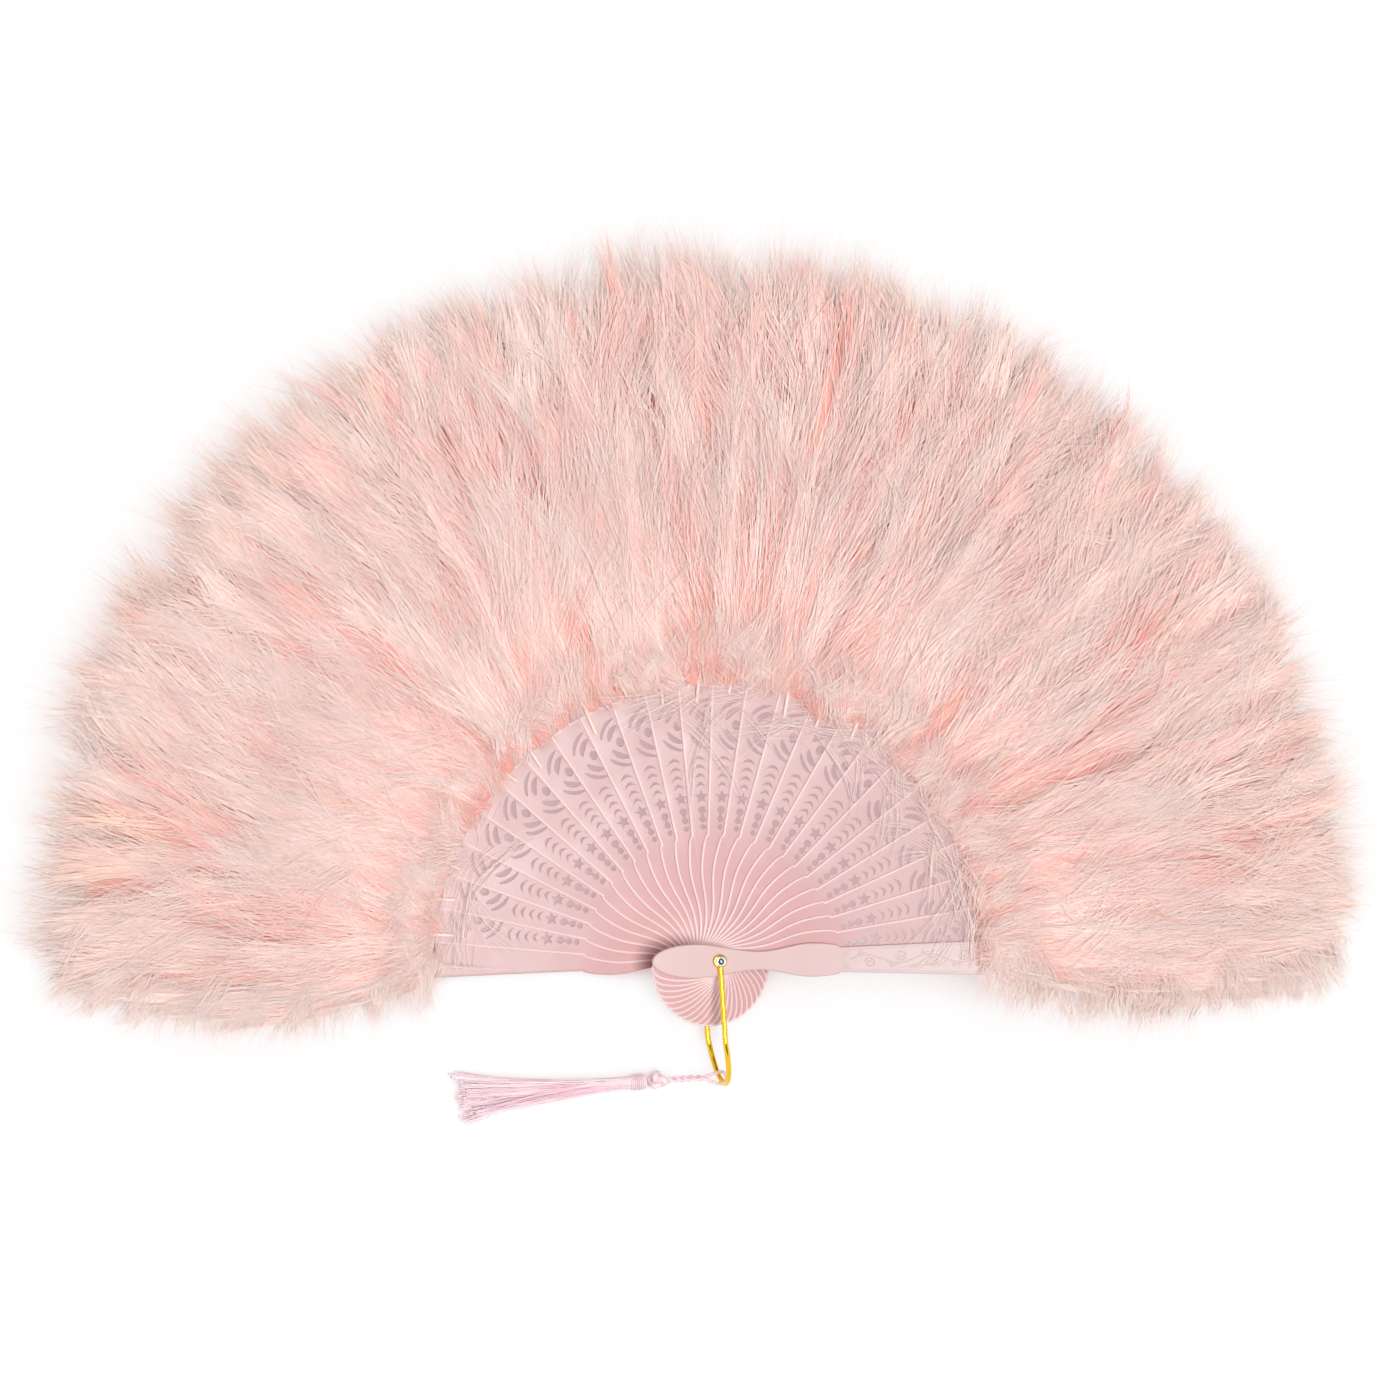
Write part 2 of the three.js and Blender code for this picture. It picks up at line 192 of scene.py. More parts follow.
class FanPlumeSizes(bpy.types.PropertyGroup):
    crown_locks: tally("Crown locks", "Locks on a plume's face", 46)
    under_locks: tally("Under locks", "Locks on a plume's back", 10)
    fringe_locks: tally("Fringe locks", "Locks at a plume's end", 26)
    hem_locks: tally("Hem locks", "Curls over a blade's end", 10)
    veil_locks: tally("Veil locks", "Locks of single hairs on top", 9)
    barbs: tally("Barbs", "Barbs in each lock", 40)
    barb_width: length("Barb width", "Width of a barb at its thickest", 0.00028)
    quill: length("Quill", "Thickness of the cut quill ends", 0.0014)


class FanTasselSizes(bpy.types.PropertyGroup):
    cord: length("Cord", "Thickness of the tassel's cord", 0.0012)
    twist: length("Twist", "Length of one turn of the doubled cord", 0.0065)
    binding: length("Binding", "Thickness of the thread round the collar", 0.0007)
    threads: tally("Threads", "Threads in the skirt", 240)
    thread: length("Thread", "Thickness of a thread of the skirt", 0.00042)


class FanColours(bpy.types.PropertyGroup):
    # The neck colours are deeper than the blade colours: painted shade of the plates stacked near the rivet
    neck: colour("Stick neck", "Plastic of the sticks near the rivet", 211, 161, 162)
    blade: colour("Stick blade", "Plastic of the pierced blades", 214, 184, 183)
    # edge: painted highlight along the sticks' rims, crown slopes and piercing walls
    edge: colour("Stick edge", "Highlit plastic along the sticks' edges", 242, 217, 216)
    guard_neck: colour("Guard neck", "Plastic of the guards near the rivet", 219, 189, 187)
    guard_blade: colour("Guard blade", "Plastic of the guards' blades", 225, 206, 205)
    # Deep and pale end the down's spread of tones: partly random, partly painted light and shade by where a
    # barb lies
    down_deep: colour("Deep down", "Deepest barbs of the body", 253, 183, 171)
    down_pale: colour("Pale down", "Palest barbs of the body", 255, 235, 228)
    down_root: colour("Down root", "Tint of the barbs' roots", 251, 176, 163)
    fringe: colour("Fringe", "Barbs at the ends of the plumes", 255, 238, 231)
    down_tip: colour("Down tip", "Tint of the barbs' tips", 255, 241, 236)
    peach: colour("Peach", "Warmer barbs at the two sides", 255, 213, 195)
    quill: colour("Quill", "Cut quill ends", 252, 234, 224)
    gold: colour("Gold", "Plating of the wire bail", 252, 206, 52)
    steel: colour("Steel", "Rivet", 216, 217, 220)
    # recess: painted shade in the shallow recess of the rivet's head
    recess_shade: colour("Recess", "Dark ring pressed into the rivet's head", 62, 66, 76)
    silk: colour("Silk", "Pale threads of the tassel", 254, 238, 243)
    silk_deep: colour("Deep silk", "Deep threads of the tassel", 246, 198, 213)
    floor: colour("Floor", "Table under the fan", 250, 249, 249)
    # floor_shade: painted shade on the table close under the plates and the down
    floor_shade: colour("Floor shade", "Table close under the plates and the down", 212, 178, 182)


class FeatherFanSettings(bpy.types.PropertyGroup):
    plates: settings_group(FanPlateSizes, "Plates", "Sizes of sticks and guards")
    plumes: settings_group(FanPlumeSizes, "Plumes", "Sizes of the down plumes")
    tassel: settings_group(FanTasselSizes, "Tassel", "Sizes of the tassel")
    colours: settings_group(FanColours, "Colours", "Colours of the finishes")


def settings():
    return bpy.context.scene.feather_fan


# Nodes


def node(tree, kind, feeds=None, **options):
    """A new node beside the others, with its options set and its inputs fed from sockets or with values."""
    made = tree.nodes.new(kind)
    made.location = (NODE_GAP * len(tree.nodes), NODE_ROW)
    for key, value in options.items():
        setattr(made, key, value)
    for key, value in (feeds or {}).items():
        if isinstance(value, bpy.types.NodeSocket):
            tree.links.new(value, made.inputs[key])
        else:
            made.inputs[key].default_value = value
    return made


def calc(tree, operation, first, second=0.0):
    """The result of one sum on two values."""
    return node(tree, "ShaderNodeMath", {0: first, 1: second}, operation=operation).outputs[0]


def span(tree, value, low, high, least=0.0, most=1.0, way="SMOOTHSTEP"):
    """How far a value is on its way from low to high, as a number from least to most."""
    feeds = {"Value": value, "From Min": low, "From Max": high, "To Min": least, "To Max": most}
    return node(tree, "ShaderNodeMapRange", feeds, interpolation_type=way).outputs["Result"]


def colour_mix(tree, first, second, amount):
    """A blend of two colours, each a socket or a plain colour."""
    first, second = (c if isinstance(c, bpy.types.NodeSocket) else (*c, 1.0) for c in (first, second))
    feeds = {"Factor": amount, "A": first, "B": second}
    return node(tree, "ShaderNodeMix", feeds, data_type="RGBA").outputs["Result"]


def once(store):
    """For a function that makes a finish or a node group by name: it makes each name only once."""

    def wrap(make):
        def find(name, *values, **options):
            return getattr(bpy.data, store).get(name) or make(name, *values, **options)

        return find

    return wrap


def new_group(name, inputs, outputs, kind):
    """An empty node group with named sockets of one kind. Gives the tree, its inputs and its outputs."""
    tree = bpy.data.node_groups.new(name, "ShaderNodeTree")
    for way, sockets in (("INPUT", inputs), ("OUTPUT", outputs)):
        for socket in sockets:
            tree.interface.new_socket(name=socket, in_out=way, socket_type=kind)
    return tree, node(tree, "NodeGroupInput").outputs, node(tree, "NodeGroupOutput").inputs


@once("node_groups")
def mottle_group(name):
    """Soft clouding and a fine grain over a surface, and how far each place is from the rivet's line."""
    scales, masks = ("Cloud Scale", "Grain Scale"), ("Cloud", "Grain", "Reach")
    tree, entry, leave = new_group(name, scales, masks, "NodeSocketFloat")
    place = node(tree, "ShaderNodeTexCoord").outputs["Object"]
    for scale, mask in zip(scales, masks):
        noise = node(tree, "ShaderNodeTexNoise", {"Vector": place, "Scale": entry[scale], "Detail": 3.0})
        tree.links.new(span(tree, noise.outputs["Fac"], 0.3, 0.7, way="LINEAR"), leave[mask])
    flat = node(tree, "ShaderNodeVectorMath", {0: place, 1: (1.0, 1.0, 0.0)}, operation="MULTIPLY")
    far = node(tree, "ShaderNodeVectorMath", {0: flat.outputs["Vector"]}, operation="LENGTH")
    tree.links.new(far.outputs["Value"], leave["Reach"])
    return tree


@once("node_groups")
def tint_group(name):
    """Colour of a barb or thread from its strip of the map. The body, the fringe and the warm sides have a
    third of the map each, which runs from its own colour to the pale one, and from root to tip along."""
    tree, tones, leave = new_group(name, STRAND_TONES, ("Colour",), "NodeSocketColor")
    strip = node(tree, "ShaderNodeUVMap", uv_map="OFBake")
    split = node(tree, "ShaderNodeSeparateXYZ", {"Vector": strip.outputs["UV"]})
    along = split.outputs["Y"]
    zones = calc(tree, "MULTIPLY", split.outputs["X"], 3.0)
    column = calc(tree, "FRACT", zones)
    chosen = colour_mix(tree, tones["Deep"], tones["Pale"], column)
    for start, key in ((1.0, "Fringe"), (2.0, "Side")):
        other = colour_mix(tree, tones[key], tones["Pale"], column)
        chosen = colour_mix(tree, chosen, other, calc(tree, "GREATER_THAN", zones, start))
    rooted = colour_mix(tree, tones["Root"], chosen, span(tree, along, -0.25, 0.5))
    tipped = colour_mix(tree, rooted, tones["Tip"], span(tree, along, 0.55, 1.05, most=0.7))
    tree.links.new(tipped, leave["Colour"])
    return tree


# Finishes


def blank_finish(name, **values):
    """A finish with its shader's even values set on the shader itself."""
    finish = bpy.data.materials.new(name)
    finish.use_nodes = True
    shader = finish.node_tree.nodes["Principled BSDF"]
    for key, value in values.items():
        shader.inputs[key.replace("_", " ")].default_value = value
    return finish, finish.node_tree, shader


def mottled(tree, cloud, grain):
    """Clouding and grain of their own fineness, from the shared group."""
    feeds = {"Cloud Scale": cloud, "Grain Scale": grain}
    return node(tree, "ShaderNodeGroup", feeds, node_tree=mottle_group("mottle")).outputs


def paint(tree, shader, first, second, amount):
    tree.links.new(colour_mix(tree, first, second, amount), shader.inputs["Base Color"])


def roughen(tree, shader, value, low, high):
    tree.links.new(span(tree, value, 0.0, 1.0, low, high, "LINEAR"), shader.inputs["Roughness"])


def emboss(tree, shader, value, strength, distance):
    feeds = {"Height": value, "Strength": strength, "Distance": distance}
    tree.links.new(node(tree, "ShaderNodeBump", feeds).outputs["Normal"], shader.inputs["Normal"])


def darker(tone):
    return tuple(0.9 * c for c in tone)


@once("materials")
def plastic_finish(name, neck, blade):
    """Satin moulded plastic, painted pinker and darker near the rivet as the shade and pink bounce where
    plate lies on plate.
    """
    finish, tree, shader = blank_finish(name, IOR=1.48, Specular_IOR_Level=0.25)
    marks = mottled(tree, 70.0, 1400.0)
    # Painted shade: the deeper neck colour near the rivet gives way to the blade colour further out
    plain = colour_mix(tree, neck, blade, span(tree, marks["Reach"], *STACK_SHADE_REACH))
    between = tuple((a + b) / 2 for a, b in zip(neck, blade))
    paint(tree, shader, plain, darker(between), calc(tree, "MULTIPLY", marks["Cloud"], 0.3))
    roughen(tree, shader, marks["Cloud"], 0.3, 0.42)
    emboss(tree, shader, marks["Grain"], 0.05, 0.0002)
    return finish


@once("materials")
def metal_finish(name, tone, low, high):
    """Plated or bright metal with faint handling marks."""
    finish, tree, shader = blank_finish(name, Metallic=1.0)
    marks = mottled(tree, 120.0, 1600.0)
    paint(tree, shader, tone, darker(tone), marks["Cloud"])
    roughen(tree, shader, marks["Cloud"], low, high)
    return finish


@once("materials")
def strand_finish(name, tones, **values):
    """Barbs or threads, which take their colours from their strips of the map."""
    finish, tree, shader = blank_finish(name, **values)
    feeds = {key: (*tone, 1.0) for key, tone in zip(STRAND_TONES, tones)}
    tint = node(tree, "ShaderNodeGroup", feeds, node_tree=tint_group("strand_tint"))
    tree.links.new(tint.outputs["Colour"], shader.inputs["Base Color"])
    return finish


def down_finish():
    c = settings().colours
    tones = (c.down_deep, c.down_pale, c.down_root, c.down_tip, c.fringe, c.peach)
    return strand_finish("down", tones, Roughness=0.8, Specular_IOR_Level=0.15)


def silk_finish():
    c = settings().colours
    tones = (c.silk_deep, *[c.silk] * 5)
    return strand_finish("silk_thread", tones, Roughness=0.42, Specular_IOR_Level=0.6)


@once("materials")
def cord_finish(name):
    """Plied silk of the cord, with its fine threads as a grain."""
    c = settings().colours
    finish, tree, shader = blank_finish(name, Roughness=0.45, Specular_IOR_Level=0.6)
    marks = mottled(tree, 900.0, 3000.0)
    paint(tree, shader, c.silk, c.silk_deep, marks["Cloud"])
    emboss(tree, shader, marks["Grain"], 0.3, 0.0001)
    return finish


@once("materials")
def quill_finish(name):
    """Cut quill ends, smooth and a little cloudy."""
    tone = settings().colours.quill
    finish, tree, shader = blank_finish(name, IOR=1.5)
    marks = mottled(tree, 300.0, 2500.0)
    paint(tree, shader, tone, darker(tone), marks["Cloud"])
    roughen(tree, shader, marks["Grain"], 0.35, 0.5)
    return finish


# Making pieces


def place_piece(shape, body, replaced, slot, *finishes):
    """Puts a finished mesh or curve in the scene, as the piece that replaces a solid and rides on a body."""
    piece = bpy.data.objects.new(shape.name, shape)
    bpy.context.scene.collection.objects.link(piece)
    for finish in finishes:
        shape.materials.append(finish)
    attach(piece, body)
    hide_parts(replaced)
    return piece


def to_mesh(bm, name, sharp=None):
    mesh = bpy.data.meshes.new(name)
    bmesh.ops.recalc_face_normals(bm, faces=bm.faces[:])
    bm.to_mesh(mesh)
    bm.free()
    mesh.shade_smooth()
    if sharp is not None:
        mesh.set_sharp_from_angle(angle=math.radians(sharp))
    return mesh


def unit(rows):
    return rows / np.maximum(np.linalg.norm(rows, axis=-1, keepdims=True), 1e-12)


def ball_arrays(sides, rings):
    """Places and triangles of a ball."""
    ball = bmesh.new()
    bmesh.ops.create_uvsphere(ball, u_segments=sides, v_segments=rings, radius=1.0)
    bmesh.ops.triangulate(ball, faces=ball.faces[:])
    ball.verts.index_update()
    points = np.array([v.co[:] for v in ball.verts])
    faces = np.array([[v.index for v in f.verts] for f in ball.faces])
    ball.free()
    return points, faces


def even_girth(count, steps, radius):
    """Thicknesses of strands that are even along their length and closed at both ends."""
    thick = np.full((count, steps), radius)
    thick[:, [0, -1]] = 0.0
    return thick


def strands(routes, radii, sides, columns=None, seed=0, facing=None, root=0.02):
    """Stretches one small ball along each route, so that each barb, thread or wire is a closed round shape.
    A column gives the strip of the map that a strand takes its colour from. Where a facing is given, a side
    of it is turned that way and shades as if it lay flatter. Gives places, triangles, strips and normals."""
    count, steps = radii.shape
    points, faces = ball_arrays(sides, steps - 1)
    station = np.rint((steps - 1) * np.arccos(np.clip(-points[:, 2], -1, 1)) / math.pi).astype(int)
    starts, stops = station == 0, station == steps - 1
    around = np.arctan2(points[:, 1], points[:, 0])
    around[starts | stops] = 0.0

    along = unit(np.gradient(routes, axis=1))
    if facing is None:
        across = np.random.default_rng(seed).normal(size=(count, 3))
        first = np.empty_like(routes)
        for k in range(steps):
            across = unit(across - np.sum(across * along[:, k], axis=1, keepdims=True) * along[:, k])
            first[:, k] = across
    else:
        first = unit(np.sum(facing * along, axis=2, keepdims=True) * along - facing)
    second = np.cross(along, first)
    turn = around[None, :, None]
    ring = np.cos(turn) * first[:, station] + np.sin(turn) * second[:, station]
    spots = (routes[:, station] + radii[:, station, None] * ring).reshape(-1, 3)
    normals = np.where(starts[None, :, None], -along[:, station], ring)
    normals = np.where(stops[None, :, None], along[:, station], normals)
    if facing is not None:
        toward = facing[:, station]
        flat = np.clip(np.sum(normals * toward, axis=2, keepdims=True) + 0.5, 0, 1)
        flatter = unit(normals + FLATTER * flat * toward)
        normals = np.where((starts | stops)[None, :, None], toward, flatter)
    index = (faces[None] + (np.arange(count) * len(points))[:, None, None]).reshape(-1, 3)
    columns = np.full(count, PLAIN_STRIP) if columns is None else columns
    wide = np.tile(around / math.pi, count) * STRIP_HALF + np.repeat(columns, len(points))
    high = root + (STRIP_TOP - root) * np.tile(station / (steps - 1), count)
    return spots, index, np.stack([wide, high], axis=1), normals.reshape(-1, 3)


def strand_mesh(name, *parts):
    """One mesh from parts that each give places, triangles, strips and, where it has its own, normals."""
    first = np.cumsum([0] + [len(part[0]) for part in parts])
    spots = np.concatenate([part[0] for part in parts])
    index = np.concatenate([part[1] + start for part, start in zip(parts, first)])
    strips = np.concatenate([part[2] for part in parts])
    mesh = bpy.data.meshes.new(name)
    mesh.vertices.add(len(spots))
    mesh.vertices.foreach_set("co", spots.astype(np.float32).ravel())
    mesh.loops.add(index.size)
    mesh.loops.foreach_set("vertex_index", index.astype(np.int32).ravel())
    mesh.polygons.add(len(index))
    mesh.polygons.foreach_set("loop_start", np.arange(0, index.size, 3, dtype=np.int32))
    mesh.update(calc_edges=True)
    mesh.shade_smooth()
    strip_map = mesh.uv_layers.new(name="OFBake")
    strip_map.data.foreach_set("uv", strips[index.ravel()].astype(np.float32).ravel())
    normals = np.empty((len(spots), 3), dtype=np.float32)
    mesh.vertex_normals.foreach_get("vector", normals.ravel())
    for part, start in zip(parts, first):
        if len(part) == 4:
            normals[start : start + len(part[0])] = part[3]
    mesh.normals_split_custom_set_from_vertices(normals)
    return mesh


def take_in(bm, mesh):
    """Adds a mesh to a shape in the making and lets it go."""
    bm.from_mesh(mesh)
    bpy.data.meshes.remove(mesh)


def smooth_route(points, count):
    """Evenly spaced places on a smooth curve through the points."""
    points = np.array([tuple(p) for p in points], float)
    padded = np.vstack([2 * points[0] - points[1], points, 2 * points[-1] - points[-2]])
    fine = []
    for k in range(1, len(padded) - 2):
        p0, p1, p2, p3 = padded[k - 1:k + 3]
        t = np.linspace(0, 1, 24, endpoint=k == len(padded) - 3)[:, None]
        fine.append(0.5 * (2 * p1 + (p2 - p0) * t + (2 * p0 - 5 * p1 + 4 * p2 - p3) * t**2
                           + (3 * p1 - p0 - 3 * p2 + p3) * t**3))
    fine = np.vstack(fine)
    far = np.concatenate([[0], np.cumsum(np.linalg.norm(np.diff(fine, axis=0), axis=1))])
    even = np.linspace(0, far[-1], count)
    return np.stack([np.interp(even, far, fine[:, k]) for k in range(3)], axis=1)


# Plates


def eased(start, end, steps):
    """An outline's smooth way from one of its parts to another, without the first place."""
    share = np.arange(1, steps + 1) / steps
    ease = (1 - np.cos(math.pi * share)) / 2
    (at, half), (end_at, end_half) = start, end
    return [(at + (end_at - at) * s, half + (end_half - half) * e) for s, e in zip(share, ease)]


def blade_half(at):
    """Half a blade's width by the distance from the rivet."""
    return CUSP[1] + (at - CUSP[0]) * (BLADE[1] - CUSP[1]) / (BLADE[0] - CUSP[0])


def plate_outline():
    """Outline of a stick or guard in millimetres: tail, waisted neck, scalloped bulge, cusp, blade, slip."""
    turns = np.linspace(0, math.pi / 2, 9)[1:]
    long, drop = CUSP[0] - BULGE[0], BULGE[1] - CUSP[1]
    edge = [(TAIL[0] - TAIL_ROUND * math.cos(t), TAIL[1] * math.sin(t)) for t in turns]
    edge += eased(TAIL, WAIST, 12) + eased(WAIST, BULGE, 12)
    edge += [(BULGE[0] + long * math.sin(t), CUSP[1] + drop * math.cos(t)) for t in turns]
    edge += [(at, blade_half(at)) for at in np.linspace(56, BLADE[0], 6)]
    edge += [SLIP_START, SLIP_END]
    return [(TAIL[0] - TAIL_ROUND, 0.0)] + [(x, -y) for x, y in edge] + edge[::-1]


def ellipse(at, across, long, wide, steps):
    turns = np.arange(steps) * 2 * math.pi / steps
    return [(at + long * math.cos(t), across + wide * math.sin(t)) for t in turns]


def joined_dots(at, radius, other, other_radius, neck):
    """Two dots joined by a narrow neck."""
    open_near, open_far = math.asin(neck / radius), math.asin(neck / other_radius)
    near = np.linspace(open_near, 2 * math.pi - open_near, 14)
    far = np.linspace(open_far - math.pi, math.pi - open_far, 16)
    return [(at + radius * math.cos(t), radius * math.sin(t)) for t in near] + [
        (other + other_radius * math.cos(t), other_radius * math.sin(t)) for t in far
    ]


def star(at, outer, inner):
    turns = np.arange(10) * math.pi / 5
    return [(at + r * math.cos(t), r * math.sin(t)) for r, t in zip([outer, inner] * 5, turns)]


def crescent(at, half, rise, wall):
    shares = np.linspace(-1, 1, 12)
    back = [(at + rise * (1 - s * s), half * s) for s in shares]
    belly = [(at + (rise - wall) * (1 - s * s), half * s) for s in shares[::-1][1:-1]]
    return back + belly


def leaf_arc(at, across, radius, thick, start, end):
    """A slit that runs round a rosette's middle and tapers to both ends."""
    shares = np.linspace(0, 1, 14)
    turns = np.radians(start + (end - start) * shares)
    half = thick / 2 * np.sqrt(np.sin(math.pi * np.clip(shares, 0.02, 0.98)))

    def side(radii):
        return [(at + r * math.cos(t), across + r * math.sin(t)) for r, t in zip(radii, turns)]

    return side(radius + half) + side(radius - half)[::-1]


def piercings():
    """Dots, star, growing crescents and the half rosette by the edge that the next stick covers."""
    at, across = ROSETTE
    cuts = [ellipse(48.7, 0, 0.85, 0.85, 14), joined_dots(51.6, 1.0, 55.0, 1.2, 0.32), star(59.8, 2.3, 0.98)]
    cuts += [crescent(63.6 + 3.2 * k, half, 1.5, 0.8) for k, half in enumerate(CRESCENT_HALVES)]
    cuts += [leaf_arc(at, across, *leaf) for leaf in LEAVES]
    cuts.append(ellipse(at, -3.6, 1.7, 1.25, 16))
    return cuts


def rim(bm, loop):
    spots = [bm.verts.new((x * MM, y * MM, 0.0)) for x, y in loop]
    return [bm.edges.new((a, b)) for a, b in zip(spots, spots[1:] + spots[:1])]


def fill(bm, edges):
    made = bmesh.ops.triangle_fill(bm, use_beauty=True, use_dissolve=False, edges=edges)
    return [g for g in made["geom"] if isinstance(g, bmesh.types.BMFace)]


def inset(bm, faces, inward, up):
    bmesh.ops.inset_region(
        bm, faces=faces, use_boundary=True, use_even_offset=True, thickness=inward, depth=up
    )


def round_rim(bm, faces, size):
    """Rounds the rim of a cap in two steps."""
    inset(bm, faces, 0.3 * size, 0.7 * size)
    inset(bm, faces, 0.7 * size, 0.3 * size)


def face_up(bm, faces):
    bm.normal_update()
    wrong = [f for f in faces if f.normal.z < 0]
    bmesh.ops.reverse_faces(bm, faces=wrong)


def drawn_in(loop, distance):
    """A loop drawn in from an anticlockwise outline by an even distance."""
    spots = np.array(loop)
    ahead = unit(np.roll(spots, -1, axis=0) - spots)
    inward = np.stack([-ahead[:, 1], ahead[:, 0]], axis=1)
    before = np.roll(inward, 1, axis=0)
    meet = (inward + before) / np.maximum(1 + np.sum(inward * before, axis=1, keepdims=True), 0.6)
    return [tuple(p) for p in spots + meet * distance]


def plate(outline, cuts, thick, rounding, inner, inner_cuts, step):
    """A flat plate with its lower face at height 0, pierced and rounded at its rims. The field inside the
    inner loop is raised by a step, as a crown, or sunk by it, as a panel."""
    bm = bmesh.new()
    borders = [e for loop in [outline, *cuts] for e in rim(bm, loop)]
    inside = rim(bm, inner)
    pierced = [e for loop in inner_cuts for e in rim(bm, loop)]
    cap = fill(bm, borders + inside)
    field = fill(bm, inside + pierced)
    face_up(bm, cap + field)
    made = bmesh.ops.extrude_face_region(bm, geom=cap + field, use_keep_orig=True)
    lower = [g for g in made["geom"] if isinstance(g, bmesh.types.BMFace)]
    low_spots = [g for g in made["geom"] if isinstance(g, bmesh.types.BMVert)]
    bmesh.ops.translate(bm, verts=low_spots, vec=(0, 0, -(thick - 2 * rounding)))
    bmesh.ops.recalc_face_normals(bm, faces=bm.faces[:])
    round_rim(bm, cap + field, rounding)
    round_rim(bm, lower, rounding)
    if step > 0:
        bmesh.ops.translate(bm, verts=list({v for f in field for v in f.verts}), vec=(0, 0, step))
    else:
        inset(bm, field, -0.8 * step, step)
    bmesh.ops.translate(bm, verts=bm.verts[:], vec=(0, 0, thick - rounding))
    return bm


def weigh_normals(piece):
    """Keeps the broad faces flat and lets the rounded rims carry the shading."""
    weigh = piece.modifiers.new("flat_faces", "WEIGHTED_NORMAL")
    weigh.mode = "FACE_AREA"
    weigh.weight = 90
    weigh.keep_sharp = True


class FEATHERFAN_OT_sticks(bpy.types.Operator):
    """The 24 pierced sticks, stepping down from the front guard to the rear one"""

    bl_idname = "feather_fan.sticks"
    bl_label = "Pierced sticks"

    def execute(self, context):
        sizes, tones = settings().plates, settings().colours
        finish = plastic_finish("satin_sticks", tones.neck, tones.blade)
        edge = plastic_finish("satin_edges", tones.edge, tones.edge)
        cuts = [ellipse(0, 0, BORE / MM, BORE / MM, 20), *piercings()]
        outline = plate_outline()
        crown = drawn_in(outline, sizes.crown_edge / MM)
        rise = sizes.crown_rise
        pattern = plate(outline, [], STICK_THICK - rise, sizes.edge_round, crown, cuts, rise)
        pattern.normal_update()
        # Faces that face neither up nor down (rims, slopes and piercing walls) take the painted edge
        # highlight
        for face in pattern.faces:
            face.material_index = int(abs(face.normal.z) < 0.95)
        for i in range(1, STICKS + 1):
            bm = pattern.copy()
            up = FIRST_STICK_Z + (STICKS - i) * STICK_PITCH
            bm.transform(Matrix.Translation((0, 0, up)) @ Matrix.Rotation(i * STEP, 4, "Z"))
            mesh = to_mesh(bm, f"pierced_stick_{i:02d}", sharp=60)
            piece = place_piece(mesh, f"stick_{i:02d}", f"stick_{i:02d}", "stick_plastic", finish, edge)
            weigh_normals(piece)
        pattern.free()
        return {"FINISHED"}


def vine_routes():
    """Stem, tendrils and sprigs of the scrolls on a guard, in millimetres along and across it."""
    at = np.linspace(*VINE_ENDS, 80)
    routes = [np.stack([at, 1.5 * np.sin((at - VINE_ENDS[0]) * 2 * math.pi / 24)], axis=1)]
    turns = np.linspace(0, 3.3 * math.pi, 60)
    radius = 1.75 * (1 - turns / turns[-1]) + 0.35
    reach = np.linspace(0, 1, 30)
    for k in range(4):
        side = -1 if k % 2 else 1
        middle = VINE_ENDS[0] + 6 + 12 * k
        along = middle + 1.2 + radius * np.cos(math.pi - turns)
        across = -side * 1.35 + side * radius * np.sin(math.pi - turns) * 0.95
        routes.append(np.stack([along, across], axis=1))
        for lean in (0.6, 1.25):
            along = middle - 3.4 + 4.2 * reach * math.cos(lean)
            across = side * (1.3 + 2.0 * np.sin(reach * math.pi * 0.6) * math.sin(lean))
            routes.append(np.stack([along, across], axis=1))
    return routes


class FEATHERFAN_OT_guards(bpy.types.Operator):
    """Front and rear guard, each with a rimmed panel of shallow scrollwork on its outer face"""

    bl_idname = "feather_fan.guards"
    bl_label = "Guards"

    def execute(self, context):
        sizes, tones = settings().plates, settings().colours
        front = plastic_finish("satin_guards", tones.guard_neck, tones.guard_blade)
        # The rear guard takes the sticks' darker finish as painted shade, since it lies low under the sticks
        rear = plastic_finish("satin_sticks", tones.neck, tones.blade)
        rim_wide = sizes.panel_rim / MM
        sides = [(at, blade_half(at) - rim_wide) for at in np.linspace(50, 99, 8)]
        half = sides[0][1]
        crown = [(50 - 3.6 * math.sin(t), half * math.cos(t)) for t in np.linspace(0, math.pi, 14)[1:-1]]
        panel = [(x, -y) for x, y in sides][::-1] + [(x, -y) for x, y in crown] + sides
        for name, angle, up, over, finish in (
            ("front_guard", 0.0, FRONT_GUARD_Z, 0.0, front),
            ("rear_guard", math.pi, REAR_GUARD_Z, math.pi, rear),
        ):
            bore = ellipse(0, 0, BORE / MM, BORE / MM, 20)
            sunk = sizes.panel_depth
            bm = plate(plate_outline(), [bore], GUARD_THICK, sizes.guard_round, panel, [], -sunk)
            for route in vine_routes():
                spots = np.column_stack([route * MM, np.full(len(route), GUARD_THICK - sunk)])
                thick = even_girth(1, len(route), sizes.vine / 2)
                thick[0, -12:] *= np.linspace(1, 0.5, 12)
                take_in(bm, strand_mesh("vine", strands(spots[None], thick, 6)))
            middle = Matrix.Translation((0, 0, GUARD_THICK / 2))
            turn = middle @ Matrix.Rotation(over, 4, "X") @ middle.inverted()
            bm.transform(Matrix.Translation((0, 0, up)) @ Matrix.Rotation(angle, 4, "Z") @ turn)
            mesh = to_mesh(bm, f"carved_{name}", sharp=60)
            piece = place_piece(mesh, name, name, "guard_plastic", finish)
            weigh_normals(piece)
        return {"FINISHED"}


# Metal


